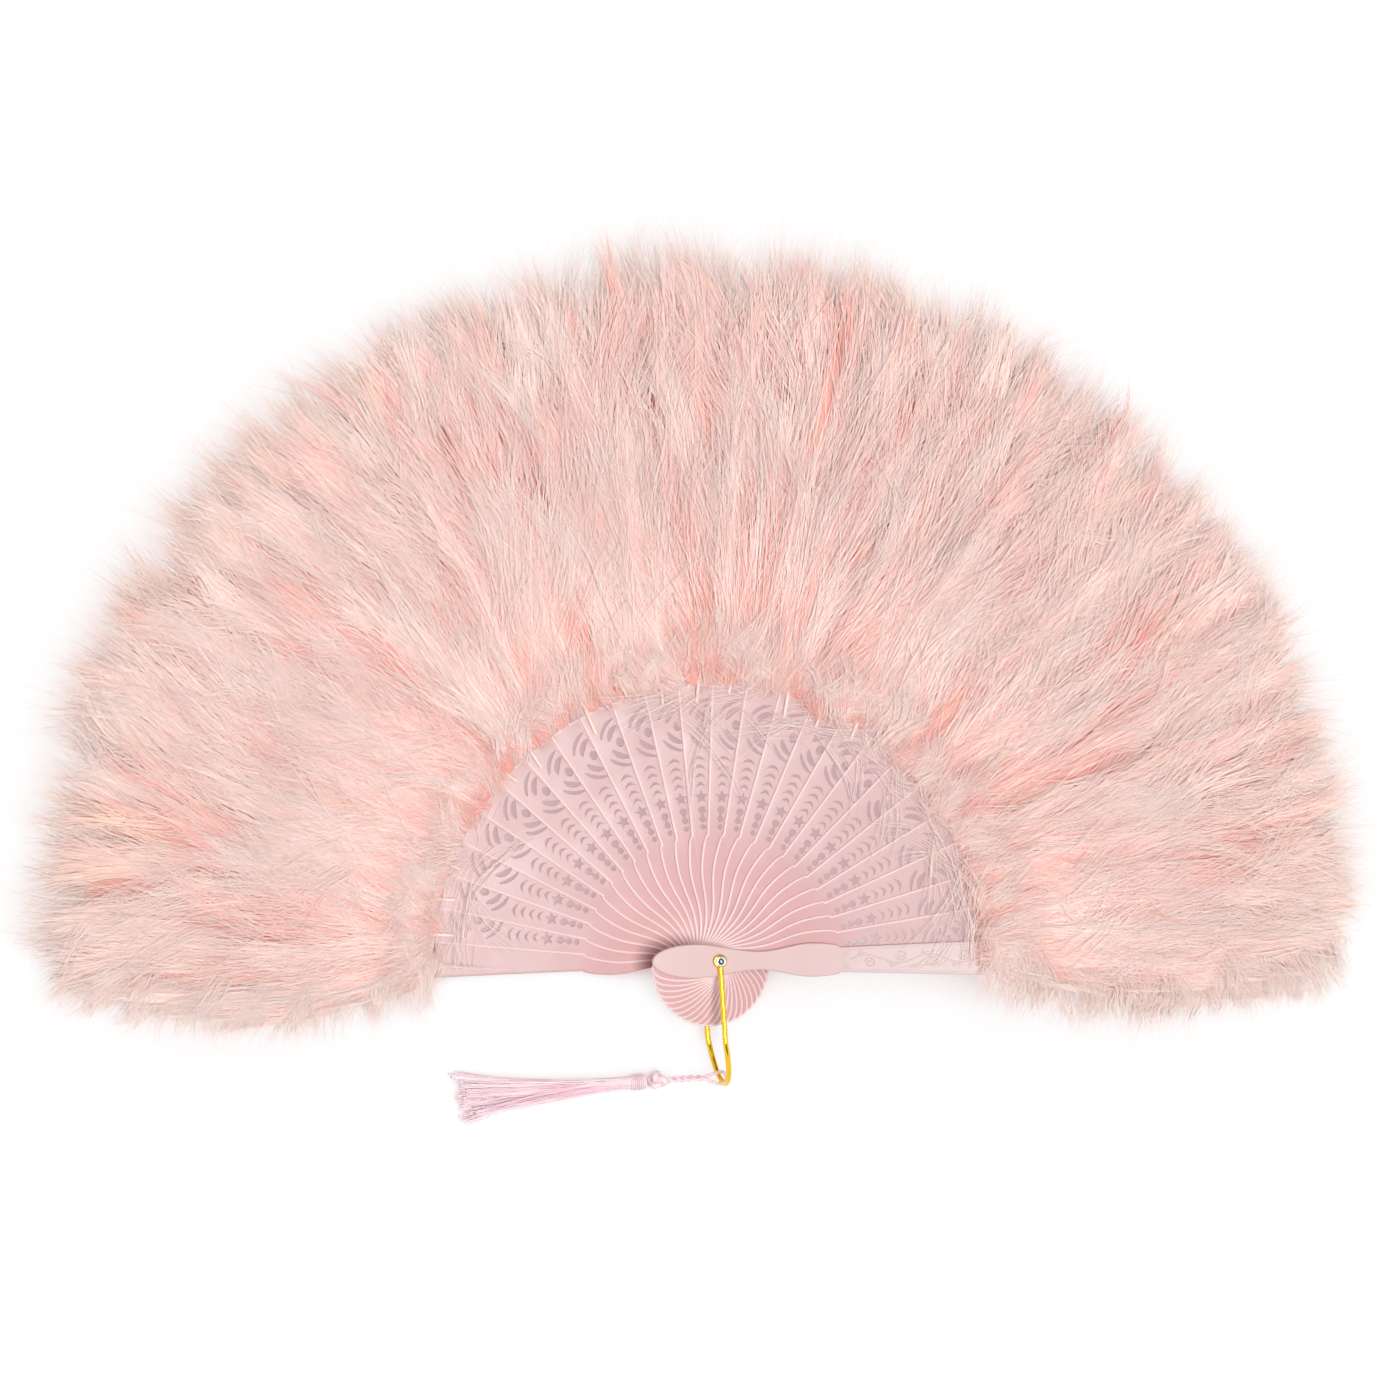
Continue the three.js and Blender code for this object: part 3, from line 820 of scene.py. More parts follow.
def spun(profile, steps):
    """A turned shape about the rivet's line, from heights and radii in millimetres."""
    bm = bmesh.new()
    spots = [bm.verts.new((radius * MM, 0, up * MM)) for radius, up in profile]
    edges = [bm.edges.new((a, b)) for a, b in zip(spots, spots[1:])]
    bmesh.ops.spin(bm, geom=spots + edges, cent=(0, 0, 0), axis=(0, 0, 1), angle=2 * math.pi,
                   steps=steps, use_merge=True)
    bmesh.ops.remove_doubles(bm, verts=bm.verts[:], dist=1e-6)
    return bm


class FEATHERFAN_OT_rivet(bpy.types.Operator):
    """Steel rivet with a rounded ring head, a shallow recess painted dark as shade, and a bright boss"""

    bl_idname = "feather_fan.rivet"
    bl_label = "Rivet"

    def execute(self, context):
        top = RIVET_TOP / MM
        seat = top - 0.8
        half_turn, quarter_turn = np.linspace(0, math.pi, 12), np.linspace(0, math.pi / 2, 7)
        ring = [(1.45 + 0.45 * math.cos(t), top - 0.4 + 0.4 * math.sin(t)) for t in half_turn]
        boss = [(0.62 * math.cos(t), top - 0.62 + 0.5 * math.sin(t)) for t in quarter_turn]
        profile = [(0, 0), (1.7, 0), (1.84, 0.06), (1.9, 0.2), (1.9, 0.66), (1.8, 0.8), (0.9, 0.8)]
        profile += [(0.9, seat), (1.82, seat), (1.9, seat + 0.1), *ring]
        profile += [(0.98, top - 0.68), (0.66, top - 0.7), *boss]
        bm = spun(profile, 40)
        for face in bm.faces:
            spot = face.calc_center_median()
            # Faces in the recess take the dark finish: painted shade
            face.material_index = int(spot.z > (top - 0.72) * MM and 0.62 < spot.xy.length / MM < 1.14)
        tones = settings().colours
        bright = metal_finish("steel", tones.steel, 0.16, 0.3)
        dark = metal_finish("steel_recess", tones.recess_shade, 0.3, 0.45)
        mesh = to_mesh(bm, "turned_rivet", sharp=50)
        place_piece(mesh, "rear_guard", "rivet", "rivet_steel", bright, dark)
        return {"FINISHED"}


def bail_route():
    """The wire's line in millimetres: down from the front eye, round the bow and up to the rear eye."""
    front, rear = FRONT_WIRE_Z / MM, REAR_WIRE_Z / MM
    middle, half = (front + rear) / 2, (front - rear) / 2
    leg = [(2 * u / BAIL_LEG, -u) for u in np.linspace(1.25, BAIL_LEG, 6)[:-1]]
    turns = np.linspace(0, math.pi, 13)
    bow = [(2 + 3 * math.sin(t), -BAIL_LEG - 16 * math.sin(t), middle + half * math.cos(t)) for t in turns]
    return [(x, y, front) for x, y in leg] + bow + [(x, y, rear) for x, y in leg[::-1]]


class FEATHERFAN_OT_bail(bpy.types.Operator):
    """Gold wire bail: two eyes on the rivet and one wire bent round below the tails"""

    bl_idname = "feather_fan.bail"
    bl_label = "Wire bail"

    def execute(self, context):
        route = smooth_route(np.array(bail_route()) * MM, 90)
        bm = bmesh.new()
        take_in(bm, strand_mesh("wire", strands(route[None], even_girth(1, len(route), WIRE_RADIUS), 20)))
        for up in (FRONT_WIRE_Z / MM, REAR_WIRE_Z / MM):
            take_in(bm, to_mesh(spun([(radius, up + rise) for radius, rise in EYE], 36), "eye"))
        mesh = to_mesh(bm, "wire_bail", sharp=50)
        finish = metal_finish("gold", settings().colours.gold, 0.08, 0.15)
        place_piece(mesh, "bail", "bail", "bail_gold", finish)
        return {"FINISHED"}


# Tassel


def tassel_spots(along, across, up):
    """Places beside the tassel's own line, which starts at the knot, in metres."""
    c, s = math.cos(TASSEL_TURN), math.sin(TASSEL_TURN)
    return np.stack([KNOT.x + along * c - across * s, KNOT.y + along * s + across * c, up], axis=-1)


def cord_route(diameter, twist):
    """The doubled cord: twisted out from the knot, round the wire, and twisted back to the knot."""
    face = np.array(KNOT) + np.array([4.0, 0, 0]) * MM
    fork = np.array(LOOP) + np.array([-4.6, 0.0, -1.6]) * MM
    far = np.linalg.norm(fork - face)
    line = (fork - face) / far
    flat = np.array([0.0, 1.0, 0.0])
    rise = np.cross(line, flat)
    share = np.linspace(0, 1, 48)
    sag = 1.2 * MM * np.sin(math.pi * share)
    spin = 2 * math.pi * share * round(2 * far / twist) / 2
    reach = diameter / 2 * 1.03
    pair = []
    for start in (0.0, math.pi):
        offset = np.cos(spin + start)[:, None] * flat + np.sin(spin + start)[:, None] * rise
        strand = face + share[:, None] * (fork - face) + reach * offset
        strand[:, 2] = np.maximum(strand[:, 2] - sag, diameter / 2 + 0.1 * MM)
        pair.append(strand)
    first, second = pair
    if first[-1][1] < second[-1][1]:
        first, second = second, first
    wrap = np.array([[-1.2, 2.0, -0.3], [0.6, 2.25, 0.0], [1.9, 1.5, 0.15], [2.35, 0.0, 0.2],
                     [1.9, -1.5, 0.15], [0.6, -2.25, 0.0], [-1.2, -2.0, -0.3]]) * MM + np.array(LOOP)
    return smooth_route([*first[::2], *wrap, *second[::-1][::2]], 160)


class FEATHERFAN_OT_tassel_cord(bpy.types.Operator):
    """The tassel's doubled and twisted cord, looped through the wire bail"""

    bl_idname = "feather_fan.tassel_cord"
    bl_label = "Tassel cord"

    def execute(self, context):
        sizes = settings().tassel
        route = cord_route(sizes.cord, sizes.twist)
        curve = bpy.data.curves.new("twisted_cord", "CURVE")
        curve.dimensions = "3D"
        curve.bevel_depth = sizes.cord / 2
        curve.bevel_resolution = 3
        curve.use_fill_caps = True
        spline = curve.splines.new("POLY")
        spline.points.add(len(route) - 1)
        spline.points.foreach_set("co", np.column_stack([route, np.ones(len(route))]).ravel())
        place_piece(curve, "tassel", "tassel_cord", "silk", cord_finish("silk_cord"))
        return {"FINISHED"}


class FEATHERFAN_OT_tassel(bpy.types.Operator):
    """Knot, bound collar and thread skirt of the tassel, in line on the table"""

    bl_idname = "feather_fan.tassel"
    bl_label = "Tassel"

    def execute(self, context):
        sizes = settings().tassel
        silk = silk_finish()
        rng = np.random.default_rng(TASSEL_SEED)
        knot = place_piece(self.knot(), "tassel", "tassel_knot", "silk", silk)
        collar = place_piece(self.collar(sizes), "tassel", "tassel_collar", "silk", silk)
        place_piece(self.skirt(sizes, rng), "tassel", "tassel_skirt", "silk", silk)
        route = cord_route(sizes.cord, sizes.twist)
        return {"FINISHED"}

    def knot(self):
        """A round button knot: one cord led three times over and under itself."""
        turns = np.linspace(0, 2 * math.pi, 150)
        along = np.sin(turns) + 2 * np.sin(2 * turns)
        across = np.cos(turns) - 2 * np.cos(2 * turns)
        weave = np.stack([along, across, -np.sin(3 * turns)], axis=1)
        weave *= KNOT_HALF / np.abs(weave).max(axis=0)
        route = tassel_spots(weave[:, 0], weave[:, 1], KNOT.z + weave[:, 2])
        thick = even_girth(1, len(route), 1.15 * MM)
        return strand_mesh("button_knot", strands(route[None], thick, 12, columns=np.array([0.24])))

    def collar(self, sizes):
        """Thread wound round the head of the skirt."""
        start, end, radius = 4.5 * MM, 10.0 * MM, 2.7 * MM
        rounds = (end - start) / sizes.binding * 0.97
        turns = np.linspace(0, 2 * math.pi * rounds, int(26 * rounds))
        share = turns / turns[-1]
        swell = radius * (0.9 + 0.1 * np.sin(math.pi * share) ** 0.6)
        along, up = start + (end - start) * share, TASSEL_Z + swell * np.sin(turns)
        route = tassel_spots(along, swell * np.cos(turns), up)
        thick = even_girth(1, len(route), sizes.binding / 2)
        bound = strands(route[None], thick, 6, columns=np.array([0.2]))
        near, past = 0.05 * MM, 0.06 * MM
        along = np.array([start + near, start + past, (start + end) / 2, end - past, end - near])
        core = tassel_spots(along, np.zeros(5), np.full(5, TASSEL_Z))
        girth = np.array([[0.0, 0.9, 0.96, 0.9, 0.0]]) * radius
        return strand_mesh("bound_collar", bound, strands(core[None], girth, 20, columns=np.array([0.12])))

    def skirt(self, sizes, rng):
        """Straight threads that leave the collar together, drift into bundles and end in a ragged brush."""
        count, bundles = sizes.threads, 15
        share = np.array([[0, 0.004, 0.12, 0.26, 0.4, 0.55, 0.7, 0.85, 0.994, 1.0]])
        bundle = rng.integers(0, bundles, count)
        end_across = (np.linspace(-1, 1, bundles) * 8.4 - 0.5)[bundle] + rng.normal(0, 0.55, count)
        end_up = np.clip(rng.normal(3.2, 1.2, bundles)[bundle] + rng.normal(0, 0.5, count), 0.5, 6.6)
        disc = np.sqrt(rng.uniform(0, 1, count)) * 2.2
        spin = rng.uniform(0, 2 * math.pi, count)
        from_across, from_up = disc * np.cos(spin), TASSEL_Z / MM + disc * np.sin(spin)
        opened = share ** 1.7
        across = from_across[:, None] * (1 - opened) + end_across[:, None] * opened
        across += rng.normal(0, 0.35, bundles)[bundle][:, None] * np.sin(math.pi * share)
        across += rng.normal(0, 0.5, count)[:, None] * np.clip(share - 0.75, 0, 1) * 3
        up = from_up[:, None] * (1 - share) + end_up[:, None] * share + 0.6 * np.sin(math.pi * share)
        reach = (64.0 + rng.normal(0, 1.6, bundles)[bundle] + rng.uniform(-2.5, 0.8, count))[:, None]
        along = 9.6 + reach * share
        routes = tassel_spots(along * MM, across * MM, np.maximum(up, 0.3) * MM)
        thick = even_girth(count, share.size, sizes.thread / 2)
        tone = np.clip(rng.normal(0.68, 0.22, bundles)[bundle] + rng.normal(0, 0.14, count), 0.02, 0.98)
        return strand_mesh("thread_skirt", strands(routes, thick, 4, columns=tone / 3, seed=5))


# Plumes


def plume_reach(turn):
    return REACH_SIDE + (REACH_TOP - REACH_SIDE) * np.clip(np.sin(turn), 0, 1)


def hang(at):
    """How far the down of the two ends hangs past the guards' line, by the distance from the rivet."""
    return np.interp(at / MM, [98, 112, 132, 156, 186, 212, 270], [2, 8, 12, 14, 13, 10.5, 9]) * MM


def down_heights(at, turn, slip):
    """Middle level and half height of the down at a place of the spread."""
    share = (at - ROOT) / (plume_reach(turn) - ROOT)
    rise = np.interp(share, [0, 0.08, 0.2, 0.32, 0.46], [0, 0.26, 0.6, 0.86, 1])
    drop = np.interp(share, [0.46, 0.56, 0.7, 0.88, 0.96, 1.0, 1.08], [1, 0.98, 0.9, 0.75, 0.6, 0.46, 0.34])
    lift = np.interp(share, [0.88, 0.96, 1.0, 1.08], [0, 0.03, 0.06, 0.14])
    beyond = np.maximum(-turn, turn - math.pi) * at / (hang(at) + 10 * MM)
    rounded = np.sqrt(1 - 0.88 * np.clip(beyond, 0, 1) ** 2)
    waves = np.sin(50 * turn + 25 * at + 0.8) + np.sin(31 * turn - 40 * at + 1.7)
    waves = waves + np.sin(83 * turn + 55 * at)
    crest = PLUME_HIGH * drop + waves * 1.8 * MM - 1.5 * MM
    high = (slip + 6 * MM) * (1 - rise) + crest * rise
    low = np.maximum(slip - 6 * MM, 0) * (1 - rise) + PLUME_HIGH * lift
    return (high + low) / 2, (high - low) / 2 * rounded


def corner(at, turn):
    """How far from the rivet the down reaches, which is less the further it hangs past the guards' line."""
    return np.interp(-at * np.sin(turn), CORNER_HANG[::-1], CORNER_REACH[::-1])


def drawn_up(at, turn, most):
    """Turns of places, drawn back where they lie further past the guards' line than the most."""
    limit = most / np.maximum(at, NEAREST)
    past = np.maximum(turn - math.pi - limit, 0) - np.maximum(-turn - limit, 0)
    return turn - 0.85 * past


def comb_turn(at, turn):
    """Which way the down is combed at a place, as an angle from the spoke through it."""
    return (
        0.2 * np.sin(7 * turn + 19 * at + 0.6)
        + 0.14 * np.sin(17 * turn - 37 * at + 2.1)
        + 0.08 * np.sin(43 * turn + 61 * at + 4.0)
    )


def lay_locks(kind, rng, count, turn, low, high):
    """Where the locks of one kind start on a plume and how they lie."""
    dealt = (np.arange(count) * GOLDEN + rng.uniform(0, 1)) % 1.0
    wide = high - low
    place = turn + (low + wide * (1.24 * dealt - 0.12)) + rng.normal(0, 0.06, count) * wide
    even = (np.arange(count) + rng.uniform(0, 1, count)) / count
    reach = np.minimum(plume_reach(place), corner(220 * MM, place))

    def between(least, most):
        return rng.uniform(least, most, count)

    def about(middle, spread):
        return rng.normal(middle, spread, count)

    lock = {"wave": about(0, 1.4 * MM), "phase": between(0, 6.3), "bend": about(0, 0.14)}
    if kind in ("crown", "under"):
        # Thick locks on the face and on the back, a quarter of them starting at the blade's end
        near, far = 104 * MM, reach - 36 * MM
        at = np.sqrt(near**2 + even * (far**2 - near**2))
        hemmed = between(0, 1) < 0.25
        at = np.where(hemmed, between(100, 111) * MM, at)
        longest = reach + between(-14, 4) * MM - at
        side = 1 if kind == "crown" else -1
        lock |= {"long": np.minimum(np.where(hemmed, between(50, 100), between(42, 74)) * MM, longest),
                 "from": side * between(0.6, 0.78), "to": side * between(0.9, 1.04),
                 "lean": comb_turn(at, place) + about(0, 0.11), "bend": about(0, 0.17),
                 "wide": between(2.8, 5.4) * MM, "clump": between(0.3, 0.85), "fine": np.ones(count)}
    elif kind == "veil":
        # Single hairs over the face
        near, far = 106 * MM, reach - 42 * MM
        at = np.sqrt(near**2 + even * (far**2 - near**2))
        lock |= {"long": np.minimum(between(28, 55) * MM, reach + between(-14, 2) * MM - at),
                 "from": between(0.85, 0.98), "to": between(1.0, 1.1),
                 "lean": comb_turn(at, place) + about(0, 0.25), "bend": about(0, 0.3),
                 "wide": between(5.0, 11.0) * MM, "clump": between(-0.3, 0.4), "fine": np.full(count, 0.6)}
    elif kind == "fringe":
        # The ragged end of the plume
        at = reach - between(30, 64) * MM
        begin = between(-0.45, 0.8)
        lock |= {"long": reach + np.minimum(between(-12, 15), between(-4, 20)) * MM - at, "from": begin,
                 "to": np.clip(begin + about(0, 0.25), -0.95, 0.95),
                 "lean": 0.7 * comb_turn(at, place) + about(0, 0.16),
                 "wide": between(3.0, 7.0) * MM, "clump": between(-0.5, 0.1), "fine": np.full(count, 0.56)}
    elif kind == "side":
        # Bristles of the two end plumes, past the guards' line
        outward = -1 if low < -STEP / 2 else 1
        at = (100 + 134 * even) * MM
        edge = np.minimum(hang(at), np.interp(at, CORNER_REACH, CORNER_HANG))
        inside = between(1, 17) * MM
        place = turn + outward * (edge - inside) / at
        begin = np.where(between(0, 1) < 0.4, between(0.5, 1.05), between(-0.85, 0.5))
        bristle = np.interp(at / MM, [100, 125, 150, 190, 220, 234], [14, 16, 17, 17, 15, 11]) * MM
        upper = begin > 0.35
        lock |= {"long": np.where(upper, between(0.7, 1.15), between(0.1, 0.4)) * bristle + inside,
                 "from": begin,
                 "to": np.minimum(begin * np.where(upper, between(1.1, 1.9), between(0.7, 1.1)), 1.15),
                 "lean": outward * (np.interp(at / MM, [110, 180, 234], [1.4, 1.2, 0.85]) + about(0, 0.18)),
                 "wide": between(2.5, 5.0) * MM, "clump": between(-0.2, 0.6), "fine": np.full(count, 0.55)}
    elif kind == "hem":
        # Short curls over the blade's end, lower on the right
        inner = 98 if turn > 1.2 else 95
        at = between(inner, inner + 8) * MM
        lock |= {"long": between(12, 30) * MM, "from": between(0.2, 0.5), "to": between(0.8, 1.15),
                 "lean": about(0, 0.3), "bend": about(0, 0.35), "wide": between(3.0, 6.0) * MM,
                 "clump": between(-0.4, 0.2), "fine": np.full(count, 0.66)}
    else:
        # Wisps that cross the blades
        at = between(90, 104) * MM
        lock |= {"long": between(18, 42) * MM, "from": between(0.3, 0.6), "to": between(0.5, 1.3),
                 "lean": np.where(between(0, 1) < 0.5, 1, -1) * about(1.5, 0.45), "bend": about(0, 0.5),
                 "wide": between(2.0, 5.0) * MM, "clump": between(-0.6, 0.1), "fine": np.full(count, 0.55)}
    if kind != "side":
        place = drawn_up(at, place, np.maximum(hang(at) - 4 * MM, 0))
    lock["at"], lock["turn"] = at, place
    patch = np.sin(23 * place + 31 * at + 0.4) * np.sin(37 * place - 47 * at + 1.9)
    # Thin hairs, curls and bristles are lifted to paler tones: partly their own paler colour, partly painted
    # light against the shade they lie in
    lift = {"wisp": 0.5, "veil": 0.35, "hem": 0.15, "side": 0.6, "fringe": 0.15}.get(kind, 0.0)
    lock["tone"] = np.clip(about(0.5, 0.29) + 0.2 * patch + lift, 0, 1)
    out = (at + lock["long"] - 170 * MM) / (reach - 170 * MM)
    sideways = np.abs(np.cos(place)) * np.clip(out, 0, 1)
    pick = between(0, 1)
    if kind == "fringe":
        lock["zone"] = np.where(pick < 0.35 * sideways, 2, 1)
    elif kind in ("side", "veil", "wisp"):
        lock["zone"] = np.ones(count)
    else:
        lock["zone"] = np.where(pick < 0.85 * sideways**2, 2, 0)
    return lock


def barb_routes(lock, rng, barbs, stations, slip, free):
    """The barbs of the locks: routes, thicknesses, strips of the colour map and the way they face."""
    each = (len(lock["at"]), barbs, 1)
    lock = {key: value[:, None, None] for key, value in lock.items()}
    spot = np.sqrt(rng.uniform(0, 1, each))
    spin = rng.uniform(0, 2 * math.pi, each)
    across, upward = spot * np.cos(spin), spot * np.sin(spin)
    stray = rng.uniform(0, 1, each) < 0.05
    lean = rng.normal(0, 0.05, each) + stray * rng.normal(0, 0.2, each)
    bend = rng.normal(0, 0.09, each)
    start = rng.uniform(-0.05, 0.25, each)
    grow = rng.uniform(0.55, 1.02, each) * (1 - np.clip(start, 0, 1) * 0.6)
    step, girth = {
        5: ([0.0, 0.24, 0.5, 0.76, 1.0], [0.0, 0.92, 1.0, 0.68, 0.0]),
        4: ([0.0, 0.3, 0.66, 1.0], [0.0, 1.0, 0.85, 0.0]),
    }[stations]
    share = start + grow * np.array(step)[None, None]
    far = share * lock["long"]
    tight = 1 - lock["clump"] * np.clip(share, 0, 1)
    aside = across * lock["wide"] * tight + lean * far + (bend + lock["bend"]) * far * share
    aside = aside + lock["wave"] * (np.sin(5.0 * share + lock["phase"]) - np.sin(lock["phase"]))
    c, s = np.cos(lock["lean"]), np.sin(lock["lean"])
    at = lock["at"] + far * c - aside * s
    turn = lock["turn"] + (far * s + aside * c) / np.maximum(at, NEAREST)
    if not free:
        turn = drawn_up(at, turn, hang(at) * (1 + 0.4 * np.sin(lock["phase"])))
        at = at - 0.8 * np.maximum(at - corner(at, turn) - 4 * MM * np.sin(lock["phase"]), 0)
    middle, half = down_heights(at, turn, slip)
    ease = 1 - (1 - np.clip(share, 0, 1)) ** 1.6
    level = lock["from"] + (lock["to"] - lock["from"]) * ease
    up = middle + half * level + upward * lock["wide"] * 0.36 * tight + stray * far * 0.05
    up = np.maximum(up, 0.35 * MM)
    spoke = np.stack([np.cos(turn), np.sin(turn), np.zeros_like(turn)], axis=-1)
    routes = np.stack([at * np.cos(turn), at * np.sin(turn), up], axis=-1).reshape(-1, stations, 3)
    edge = np.clip((at - plume_reach(turn) + RIM_WIDE) / RIM_WIDE, 0, 1)[..., None]
    bright = (lock["zone"] == 1) | (lock["fine"] < 0.6)
    steep = np.where(bright, 1.3, np.maximum(level + 0.35, 0.35))[..., None]
    outward = np.where(level[..., None] < 0, 0.8, 0.22 * edge)
    facing = unit(outward * spoke + steep * np.array([0.0, 0.0, 1.0]))
    girth = np.array(girth)[None, None] * rng.uniform(0.75, 1.2, each) * lock["fine"]
    # Painted light and shade: barbs on a lock's outer edge and high in a lock are paler, and locks that end
    # lower take deeper tones
    tone = lock["tone"] + rng.normal(0, 0.12, each) + 0.25 * (np.abs(across) > 0.72) + 0.3 * stray
    tone = tone + 0.16 * upward + np.where(lock["zone"] == 1, 0, 2.2 * (np.abs(lock["to"]) - 0.97))
    strip = (lock["zone"] + 0.02 + 0.96 * np.clip(tone, 0, 1)) / 3
    strip = np.round(strip.ravel() * STRIPS) / STRIPS
    return routes, girth.reshape(-1, stations), strip, facing.reshape(-1, stations, 3)


def fleece(rng, turn, low, high, slip):
    """The dense inner down of a plume, which closes the gaps between its locks, in deep root tones as
    painted shade in those gaps.
    """
    points, faces = ball_arrays(22, 20)
    along = points[:, 2]
    full = np.sqrt(np.clip(1 - np.abs(along) ** np.where(along < 0, 2.6, 3.5), 0, 1))
    ring = unit(points[:, :2]) * full[:, None]
    across = np.sign(ring[:, 0]) * np.abs(ring[:, 0]) ** 0.6
    level = np.sign(ring[:, 1]) * np.abs(ring[:, 1]) ** 0.75
    near, far = ROOT - 0.6 * MM, ROOT + 0.84 * (plume_reach(turn) - ROOT)
    at = (near + far) / 2 + along * (far - near) / 2
    place = turn + across * np.where(across > 0, high, -low) * 1.14
    place = drawn_up(at, place, np.maximum(hang(at) - 5 * MM, 0))
    at = np.minimum(at, corner(at, place) - 16 * MM)
    middle, half = down_heights(at, place, slip)
    up = np.maximum(middle + half * 0.77 * level, 0.6 * MM)
    spots = np.stack([at * np.cos(place), at * np.sin(place), up], axis=1)
    # Painted shade: the inner down takes the deep end of the body's tones and the root tint
    tone = rng.uniform(0.05, 0.3, len(points)) / 3
    return spots, faces, np.stack([tone, rng.uniform(0.02, 0.2, len(points))], axis=1)


class FEATHERFAN_OT_plumes(bpy.types.Operator):
    """The down plumes of sticks and guards, with curls over the blade ends and cut quill ends"""

    bl_idname = "feather_fan.plumes"
    bl_label = "Down plumes"

    def execute(self, context):
        for i in range(1, STICKS + 1):
            bottom = FIRST_STICK_Z + (STICKS - i) * STICK_PITCH
            slip = bottom + STICK_THICK / 2
            self.plume(f"stick_{i:02d}", f"plume_{i:02d}", i * STEP, slip, -STEP / 2, STEP / 2, i)
        front, rear = FRONT_GUARD_Z + GUARD_THICK / 2, REAR_GUARD_Z + GUARD_THICK / 2
        self.plume("front_guard", "front_plume", 0.0, front, -OVERHANG, STEP / 2, 0)
        self.plume("rear_guard", "rear_plume", math.pi, rear, -STEP / 2, OVERHANG, STICKS + 1)
        return {"FINISHED"}

    def plume(self, body, replaced, turn, slip, low, high, number):
        sizes = settings().plumes
        rng = np.random.default_rng(PLUME_SEED + number)
        kinds = []
        for kind, stations in (("crown", 5), ("under", 4), ("fringe", 4), ("hem", 5), ("veil", 5)):
            count = getattr(sizes, f"{kind}_locks")
            kinds.append((kind, round(count * (high - low) / STEP), stations))
        if turn < 1.8 or turn > 2.7:
            kinds.append(("wisp", 4, 5))
        if number in (0, STICKS + 1):
            kinds.append(("side", 8 * sizes.fringe_locks, 4))
        parts = []
        for kind, count, stations in kinds:
            lock = lay_locks(kind, rng, count, turn, low, high)
            barbs = BARB_COUNTS.get(kind, sizes.barbs)
            routes, girth, strips, facing = barb_routes(lock, rng, barbs, stations, slip, kind == "side")
            radii = girth * sizes.barb_width / 2 * THREE_SIDED
            parts.append(strands(routes, radii, 3, strips, facing=facing, root=0.2))
        parts.append(fleece(rng, turn, low, high, slip))
        soft = sum(len(part[1]) for part in parts)
        if FIRST_QUILL <= number <= STICKS and rng.uniform() < 0.8:
            parts.append(self.quill(rng, turn, slip, sizes.quill))
        mesh = strand_mesh(f"down_{replaced}", *parts)
        piece = place_piece(mesh, body, replaced, "feather", down_finish(), quill_finish("quill"))
        hard = np.zeros(len(mesh.polygons), dtype=np.int32)
        hard[soft:] = 1
        mesh.polygons.foreach_set("material_index", hard)
        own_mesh(piece)

    def quill(self, rng, turn, slip, thick):
        """A cut quill end that lies on the blade and runs out under the down."""
        lean = rng.uniform(-0.16, 0.2)
        begin = rng.uniform(93.0, 99.0) * MM
        aside = rng.uniform(-0.5, 3.6) * MM
        far = np.array([0, 0.03, 6, 12, 18, 18.03]) * MM
        at = begin + far
        across = aside + lean * far
        up = slip + STICK_THICK / 2 + thick / 2 + 0.12 * far
        c, s = math.cos(turn), math.sin(turn)
        route = np.stack([at * c - across * s, at * s + across * c, up], axis=1)
        girth = np.array([[0.0, 1.0, 1.0, 0.95, 0.85, 0.0]]) * thick / 2
        return strands(route[None], girth, 10)


# Table, light and camera


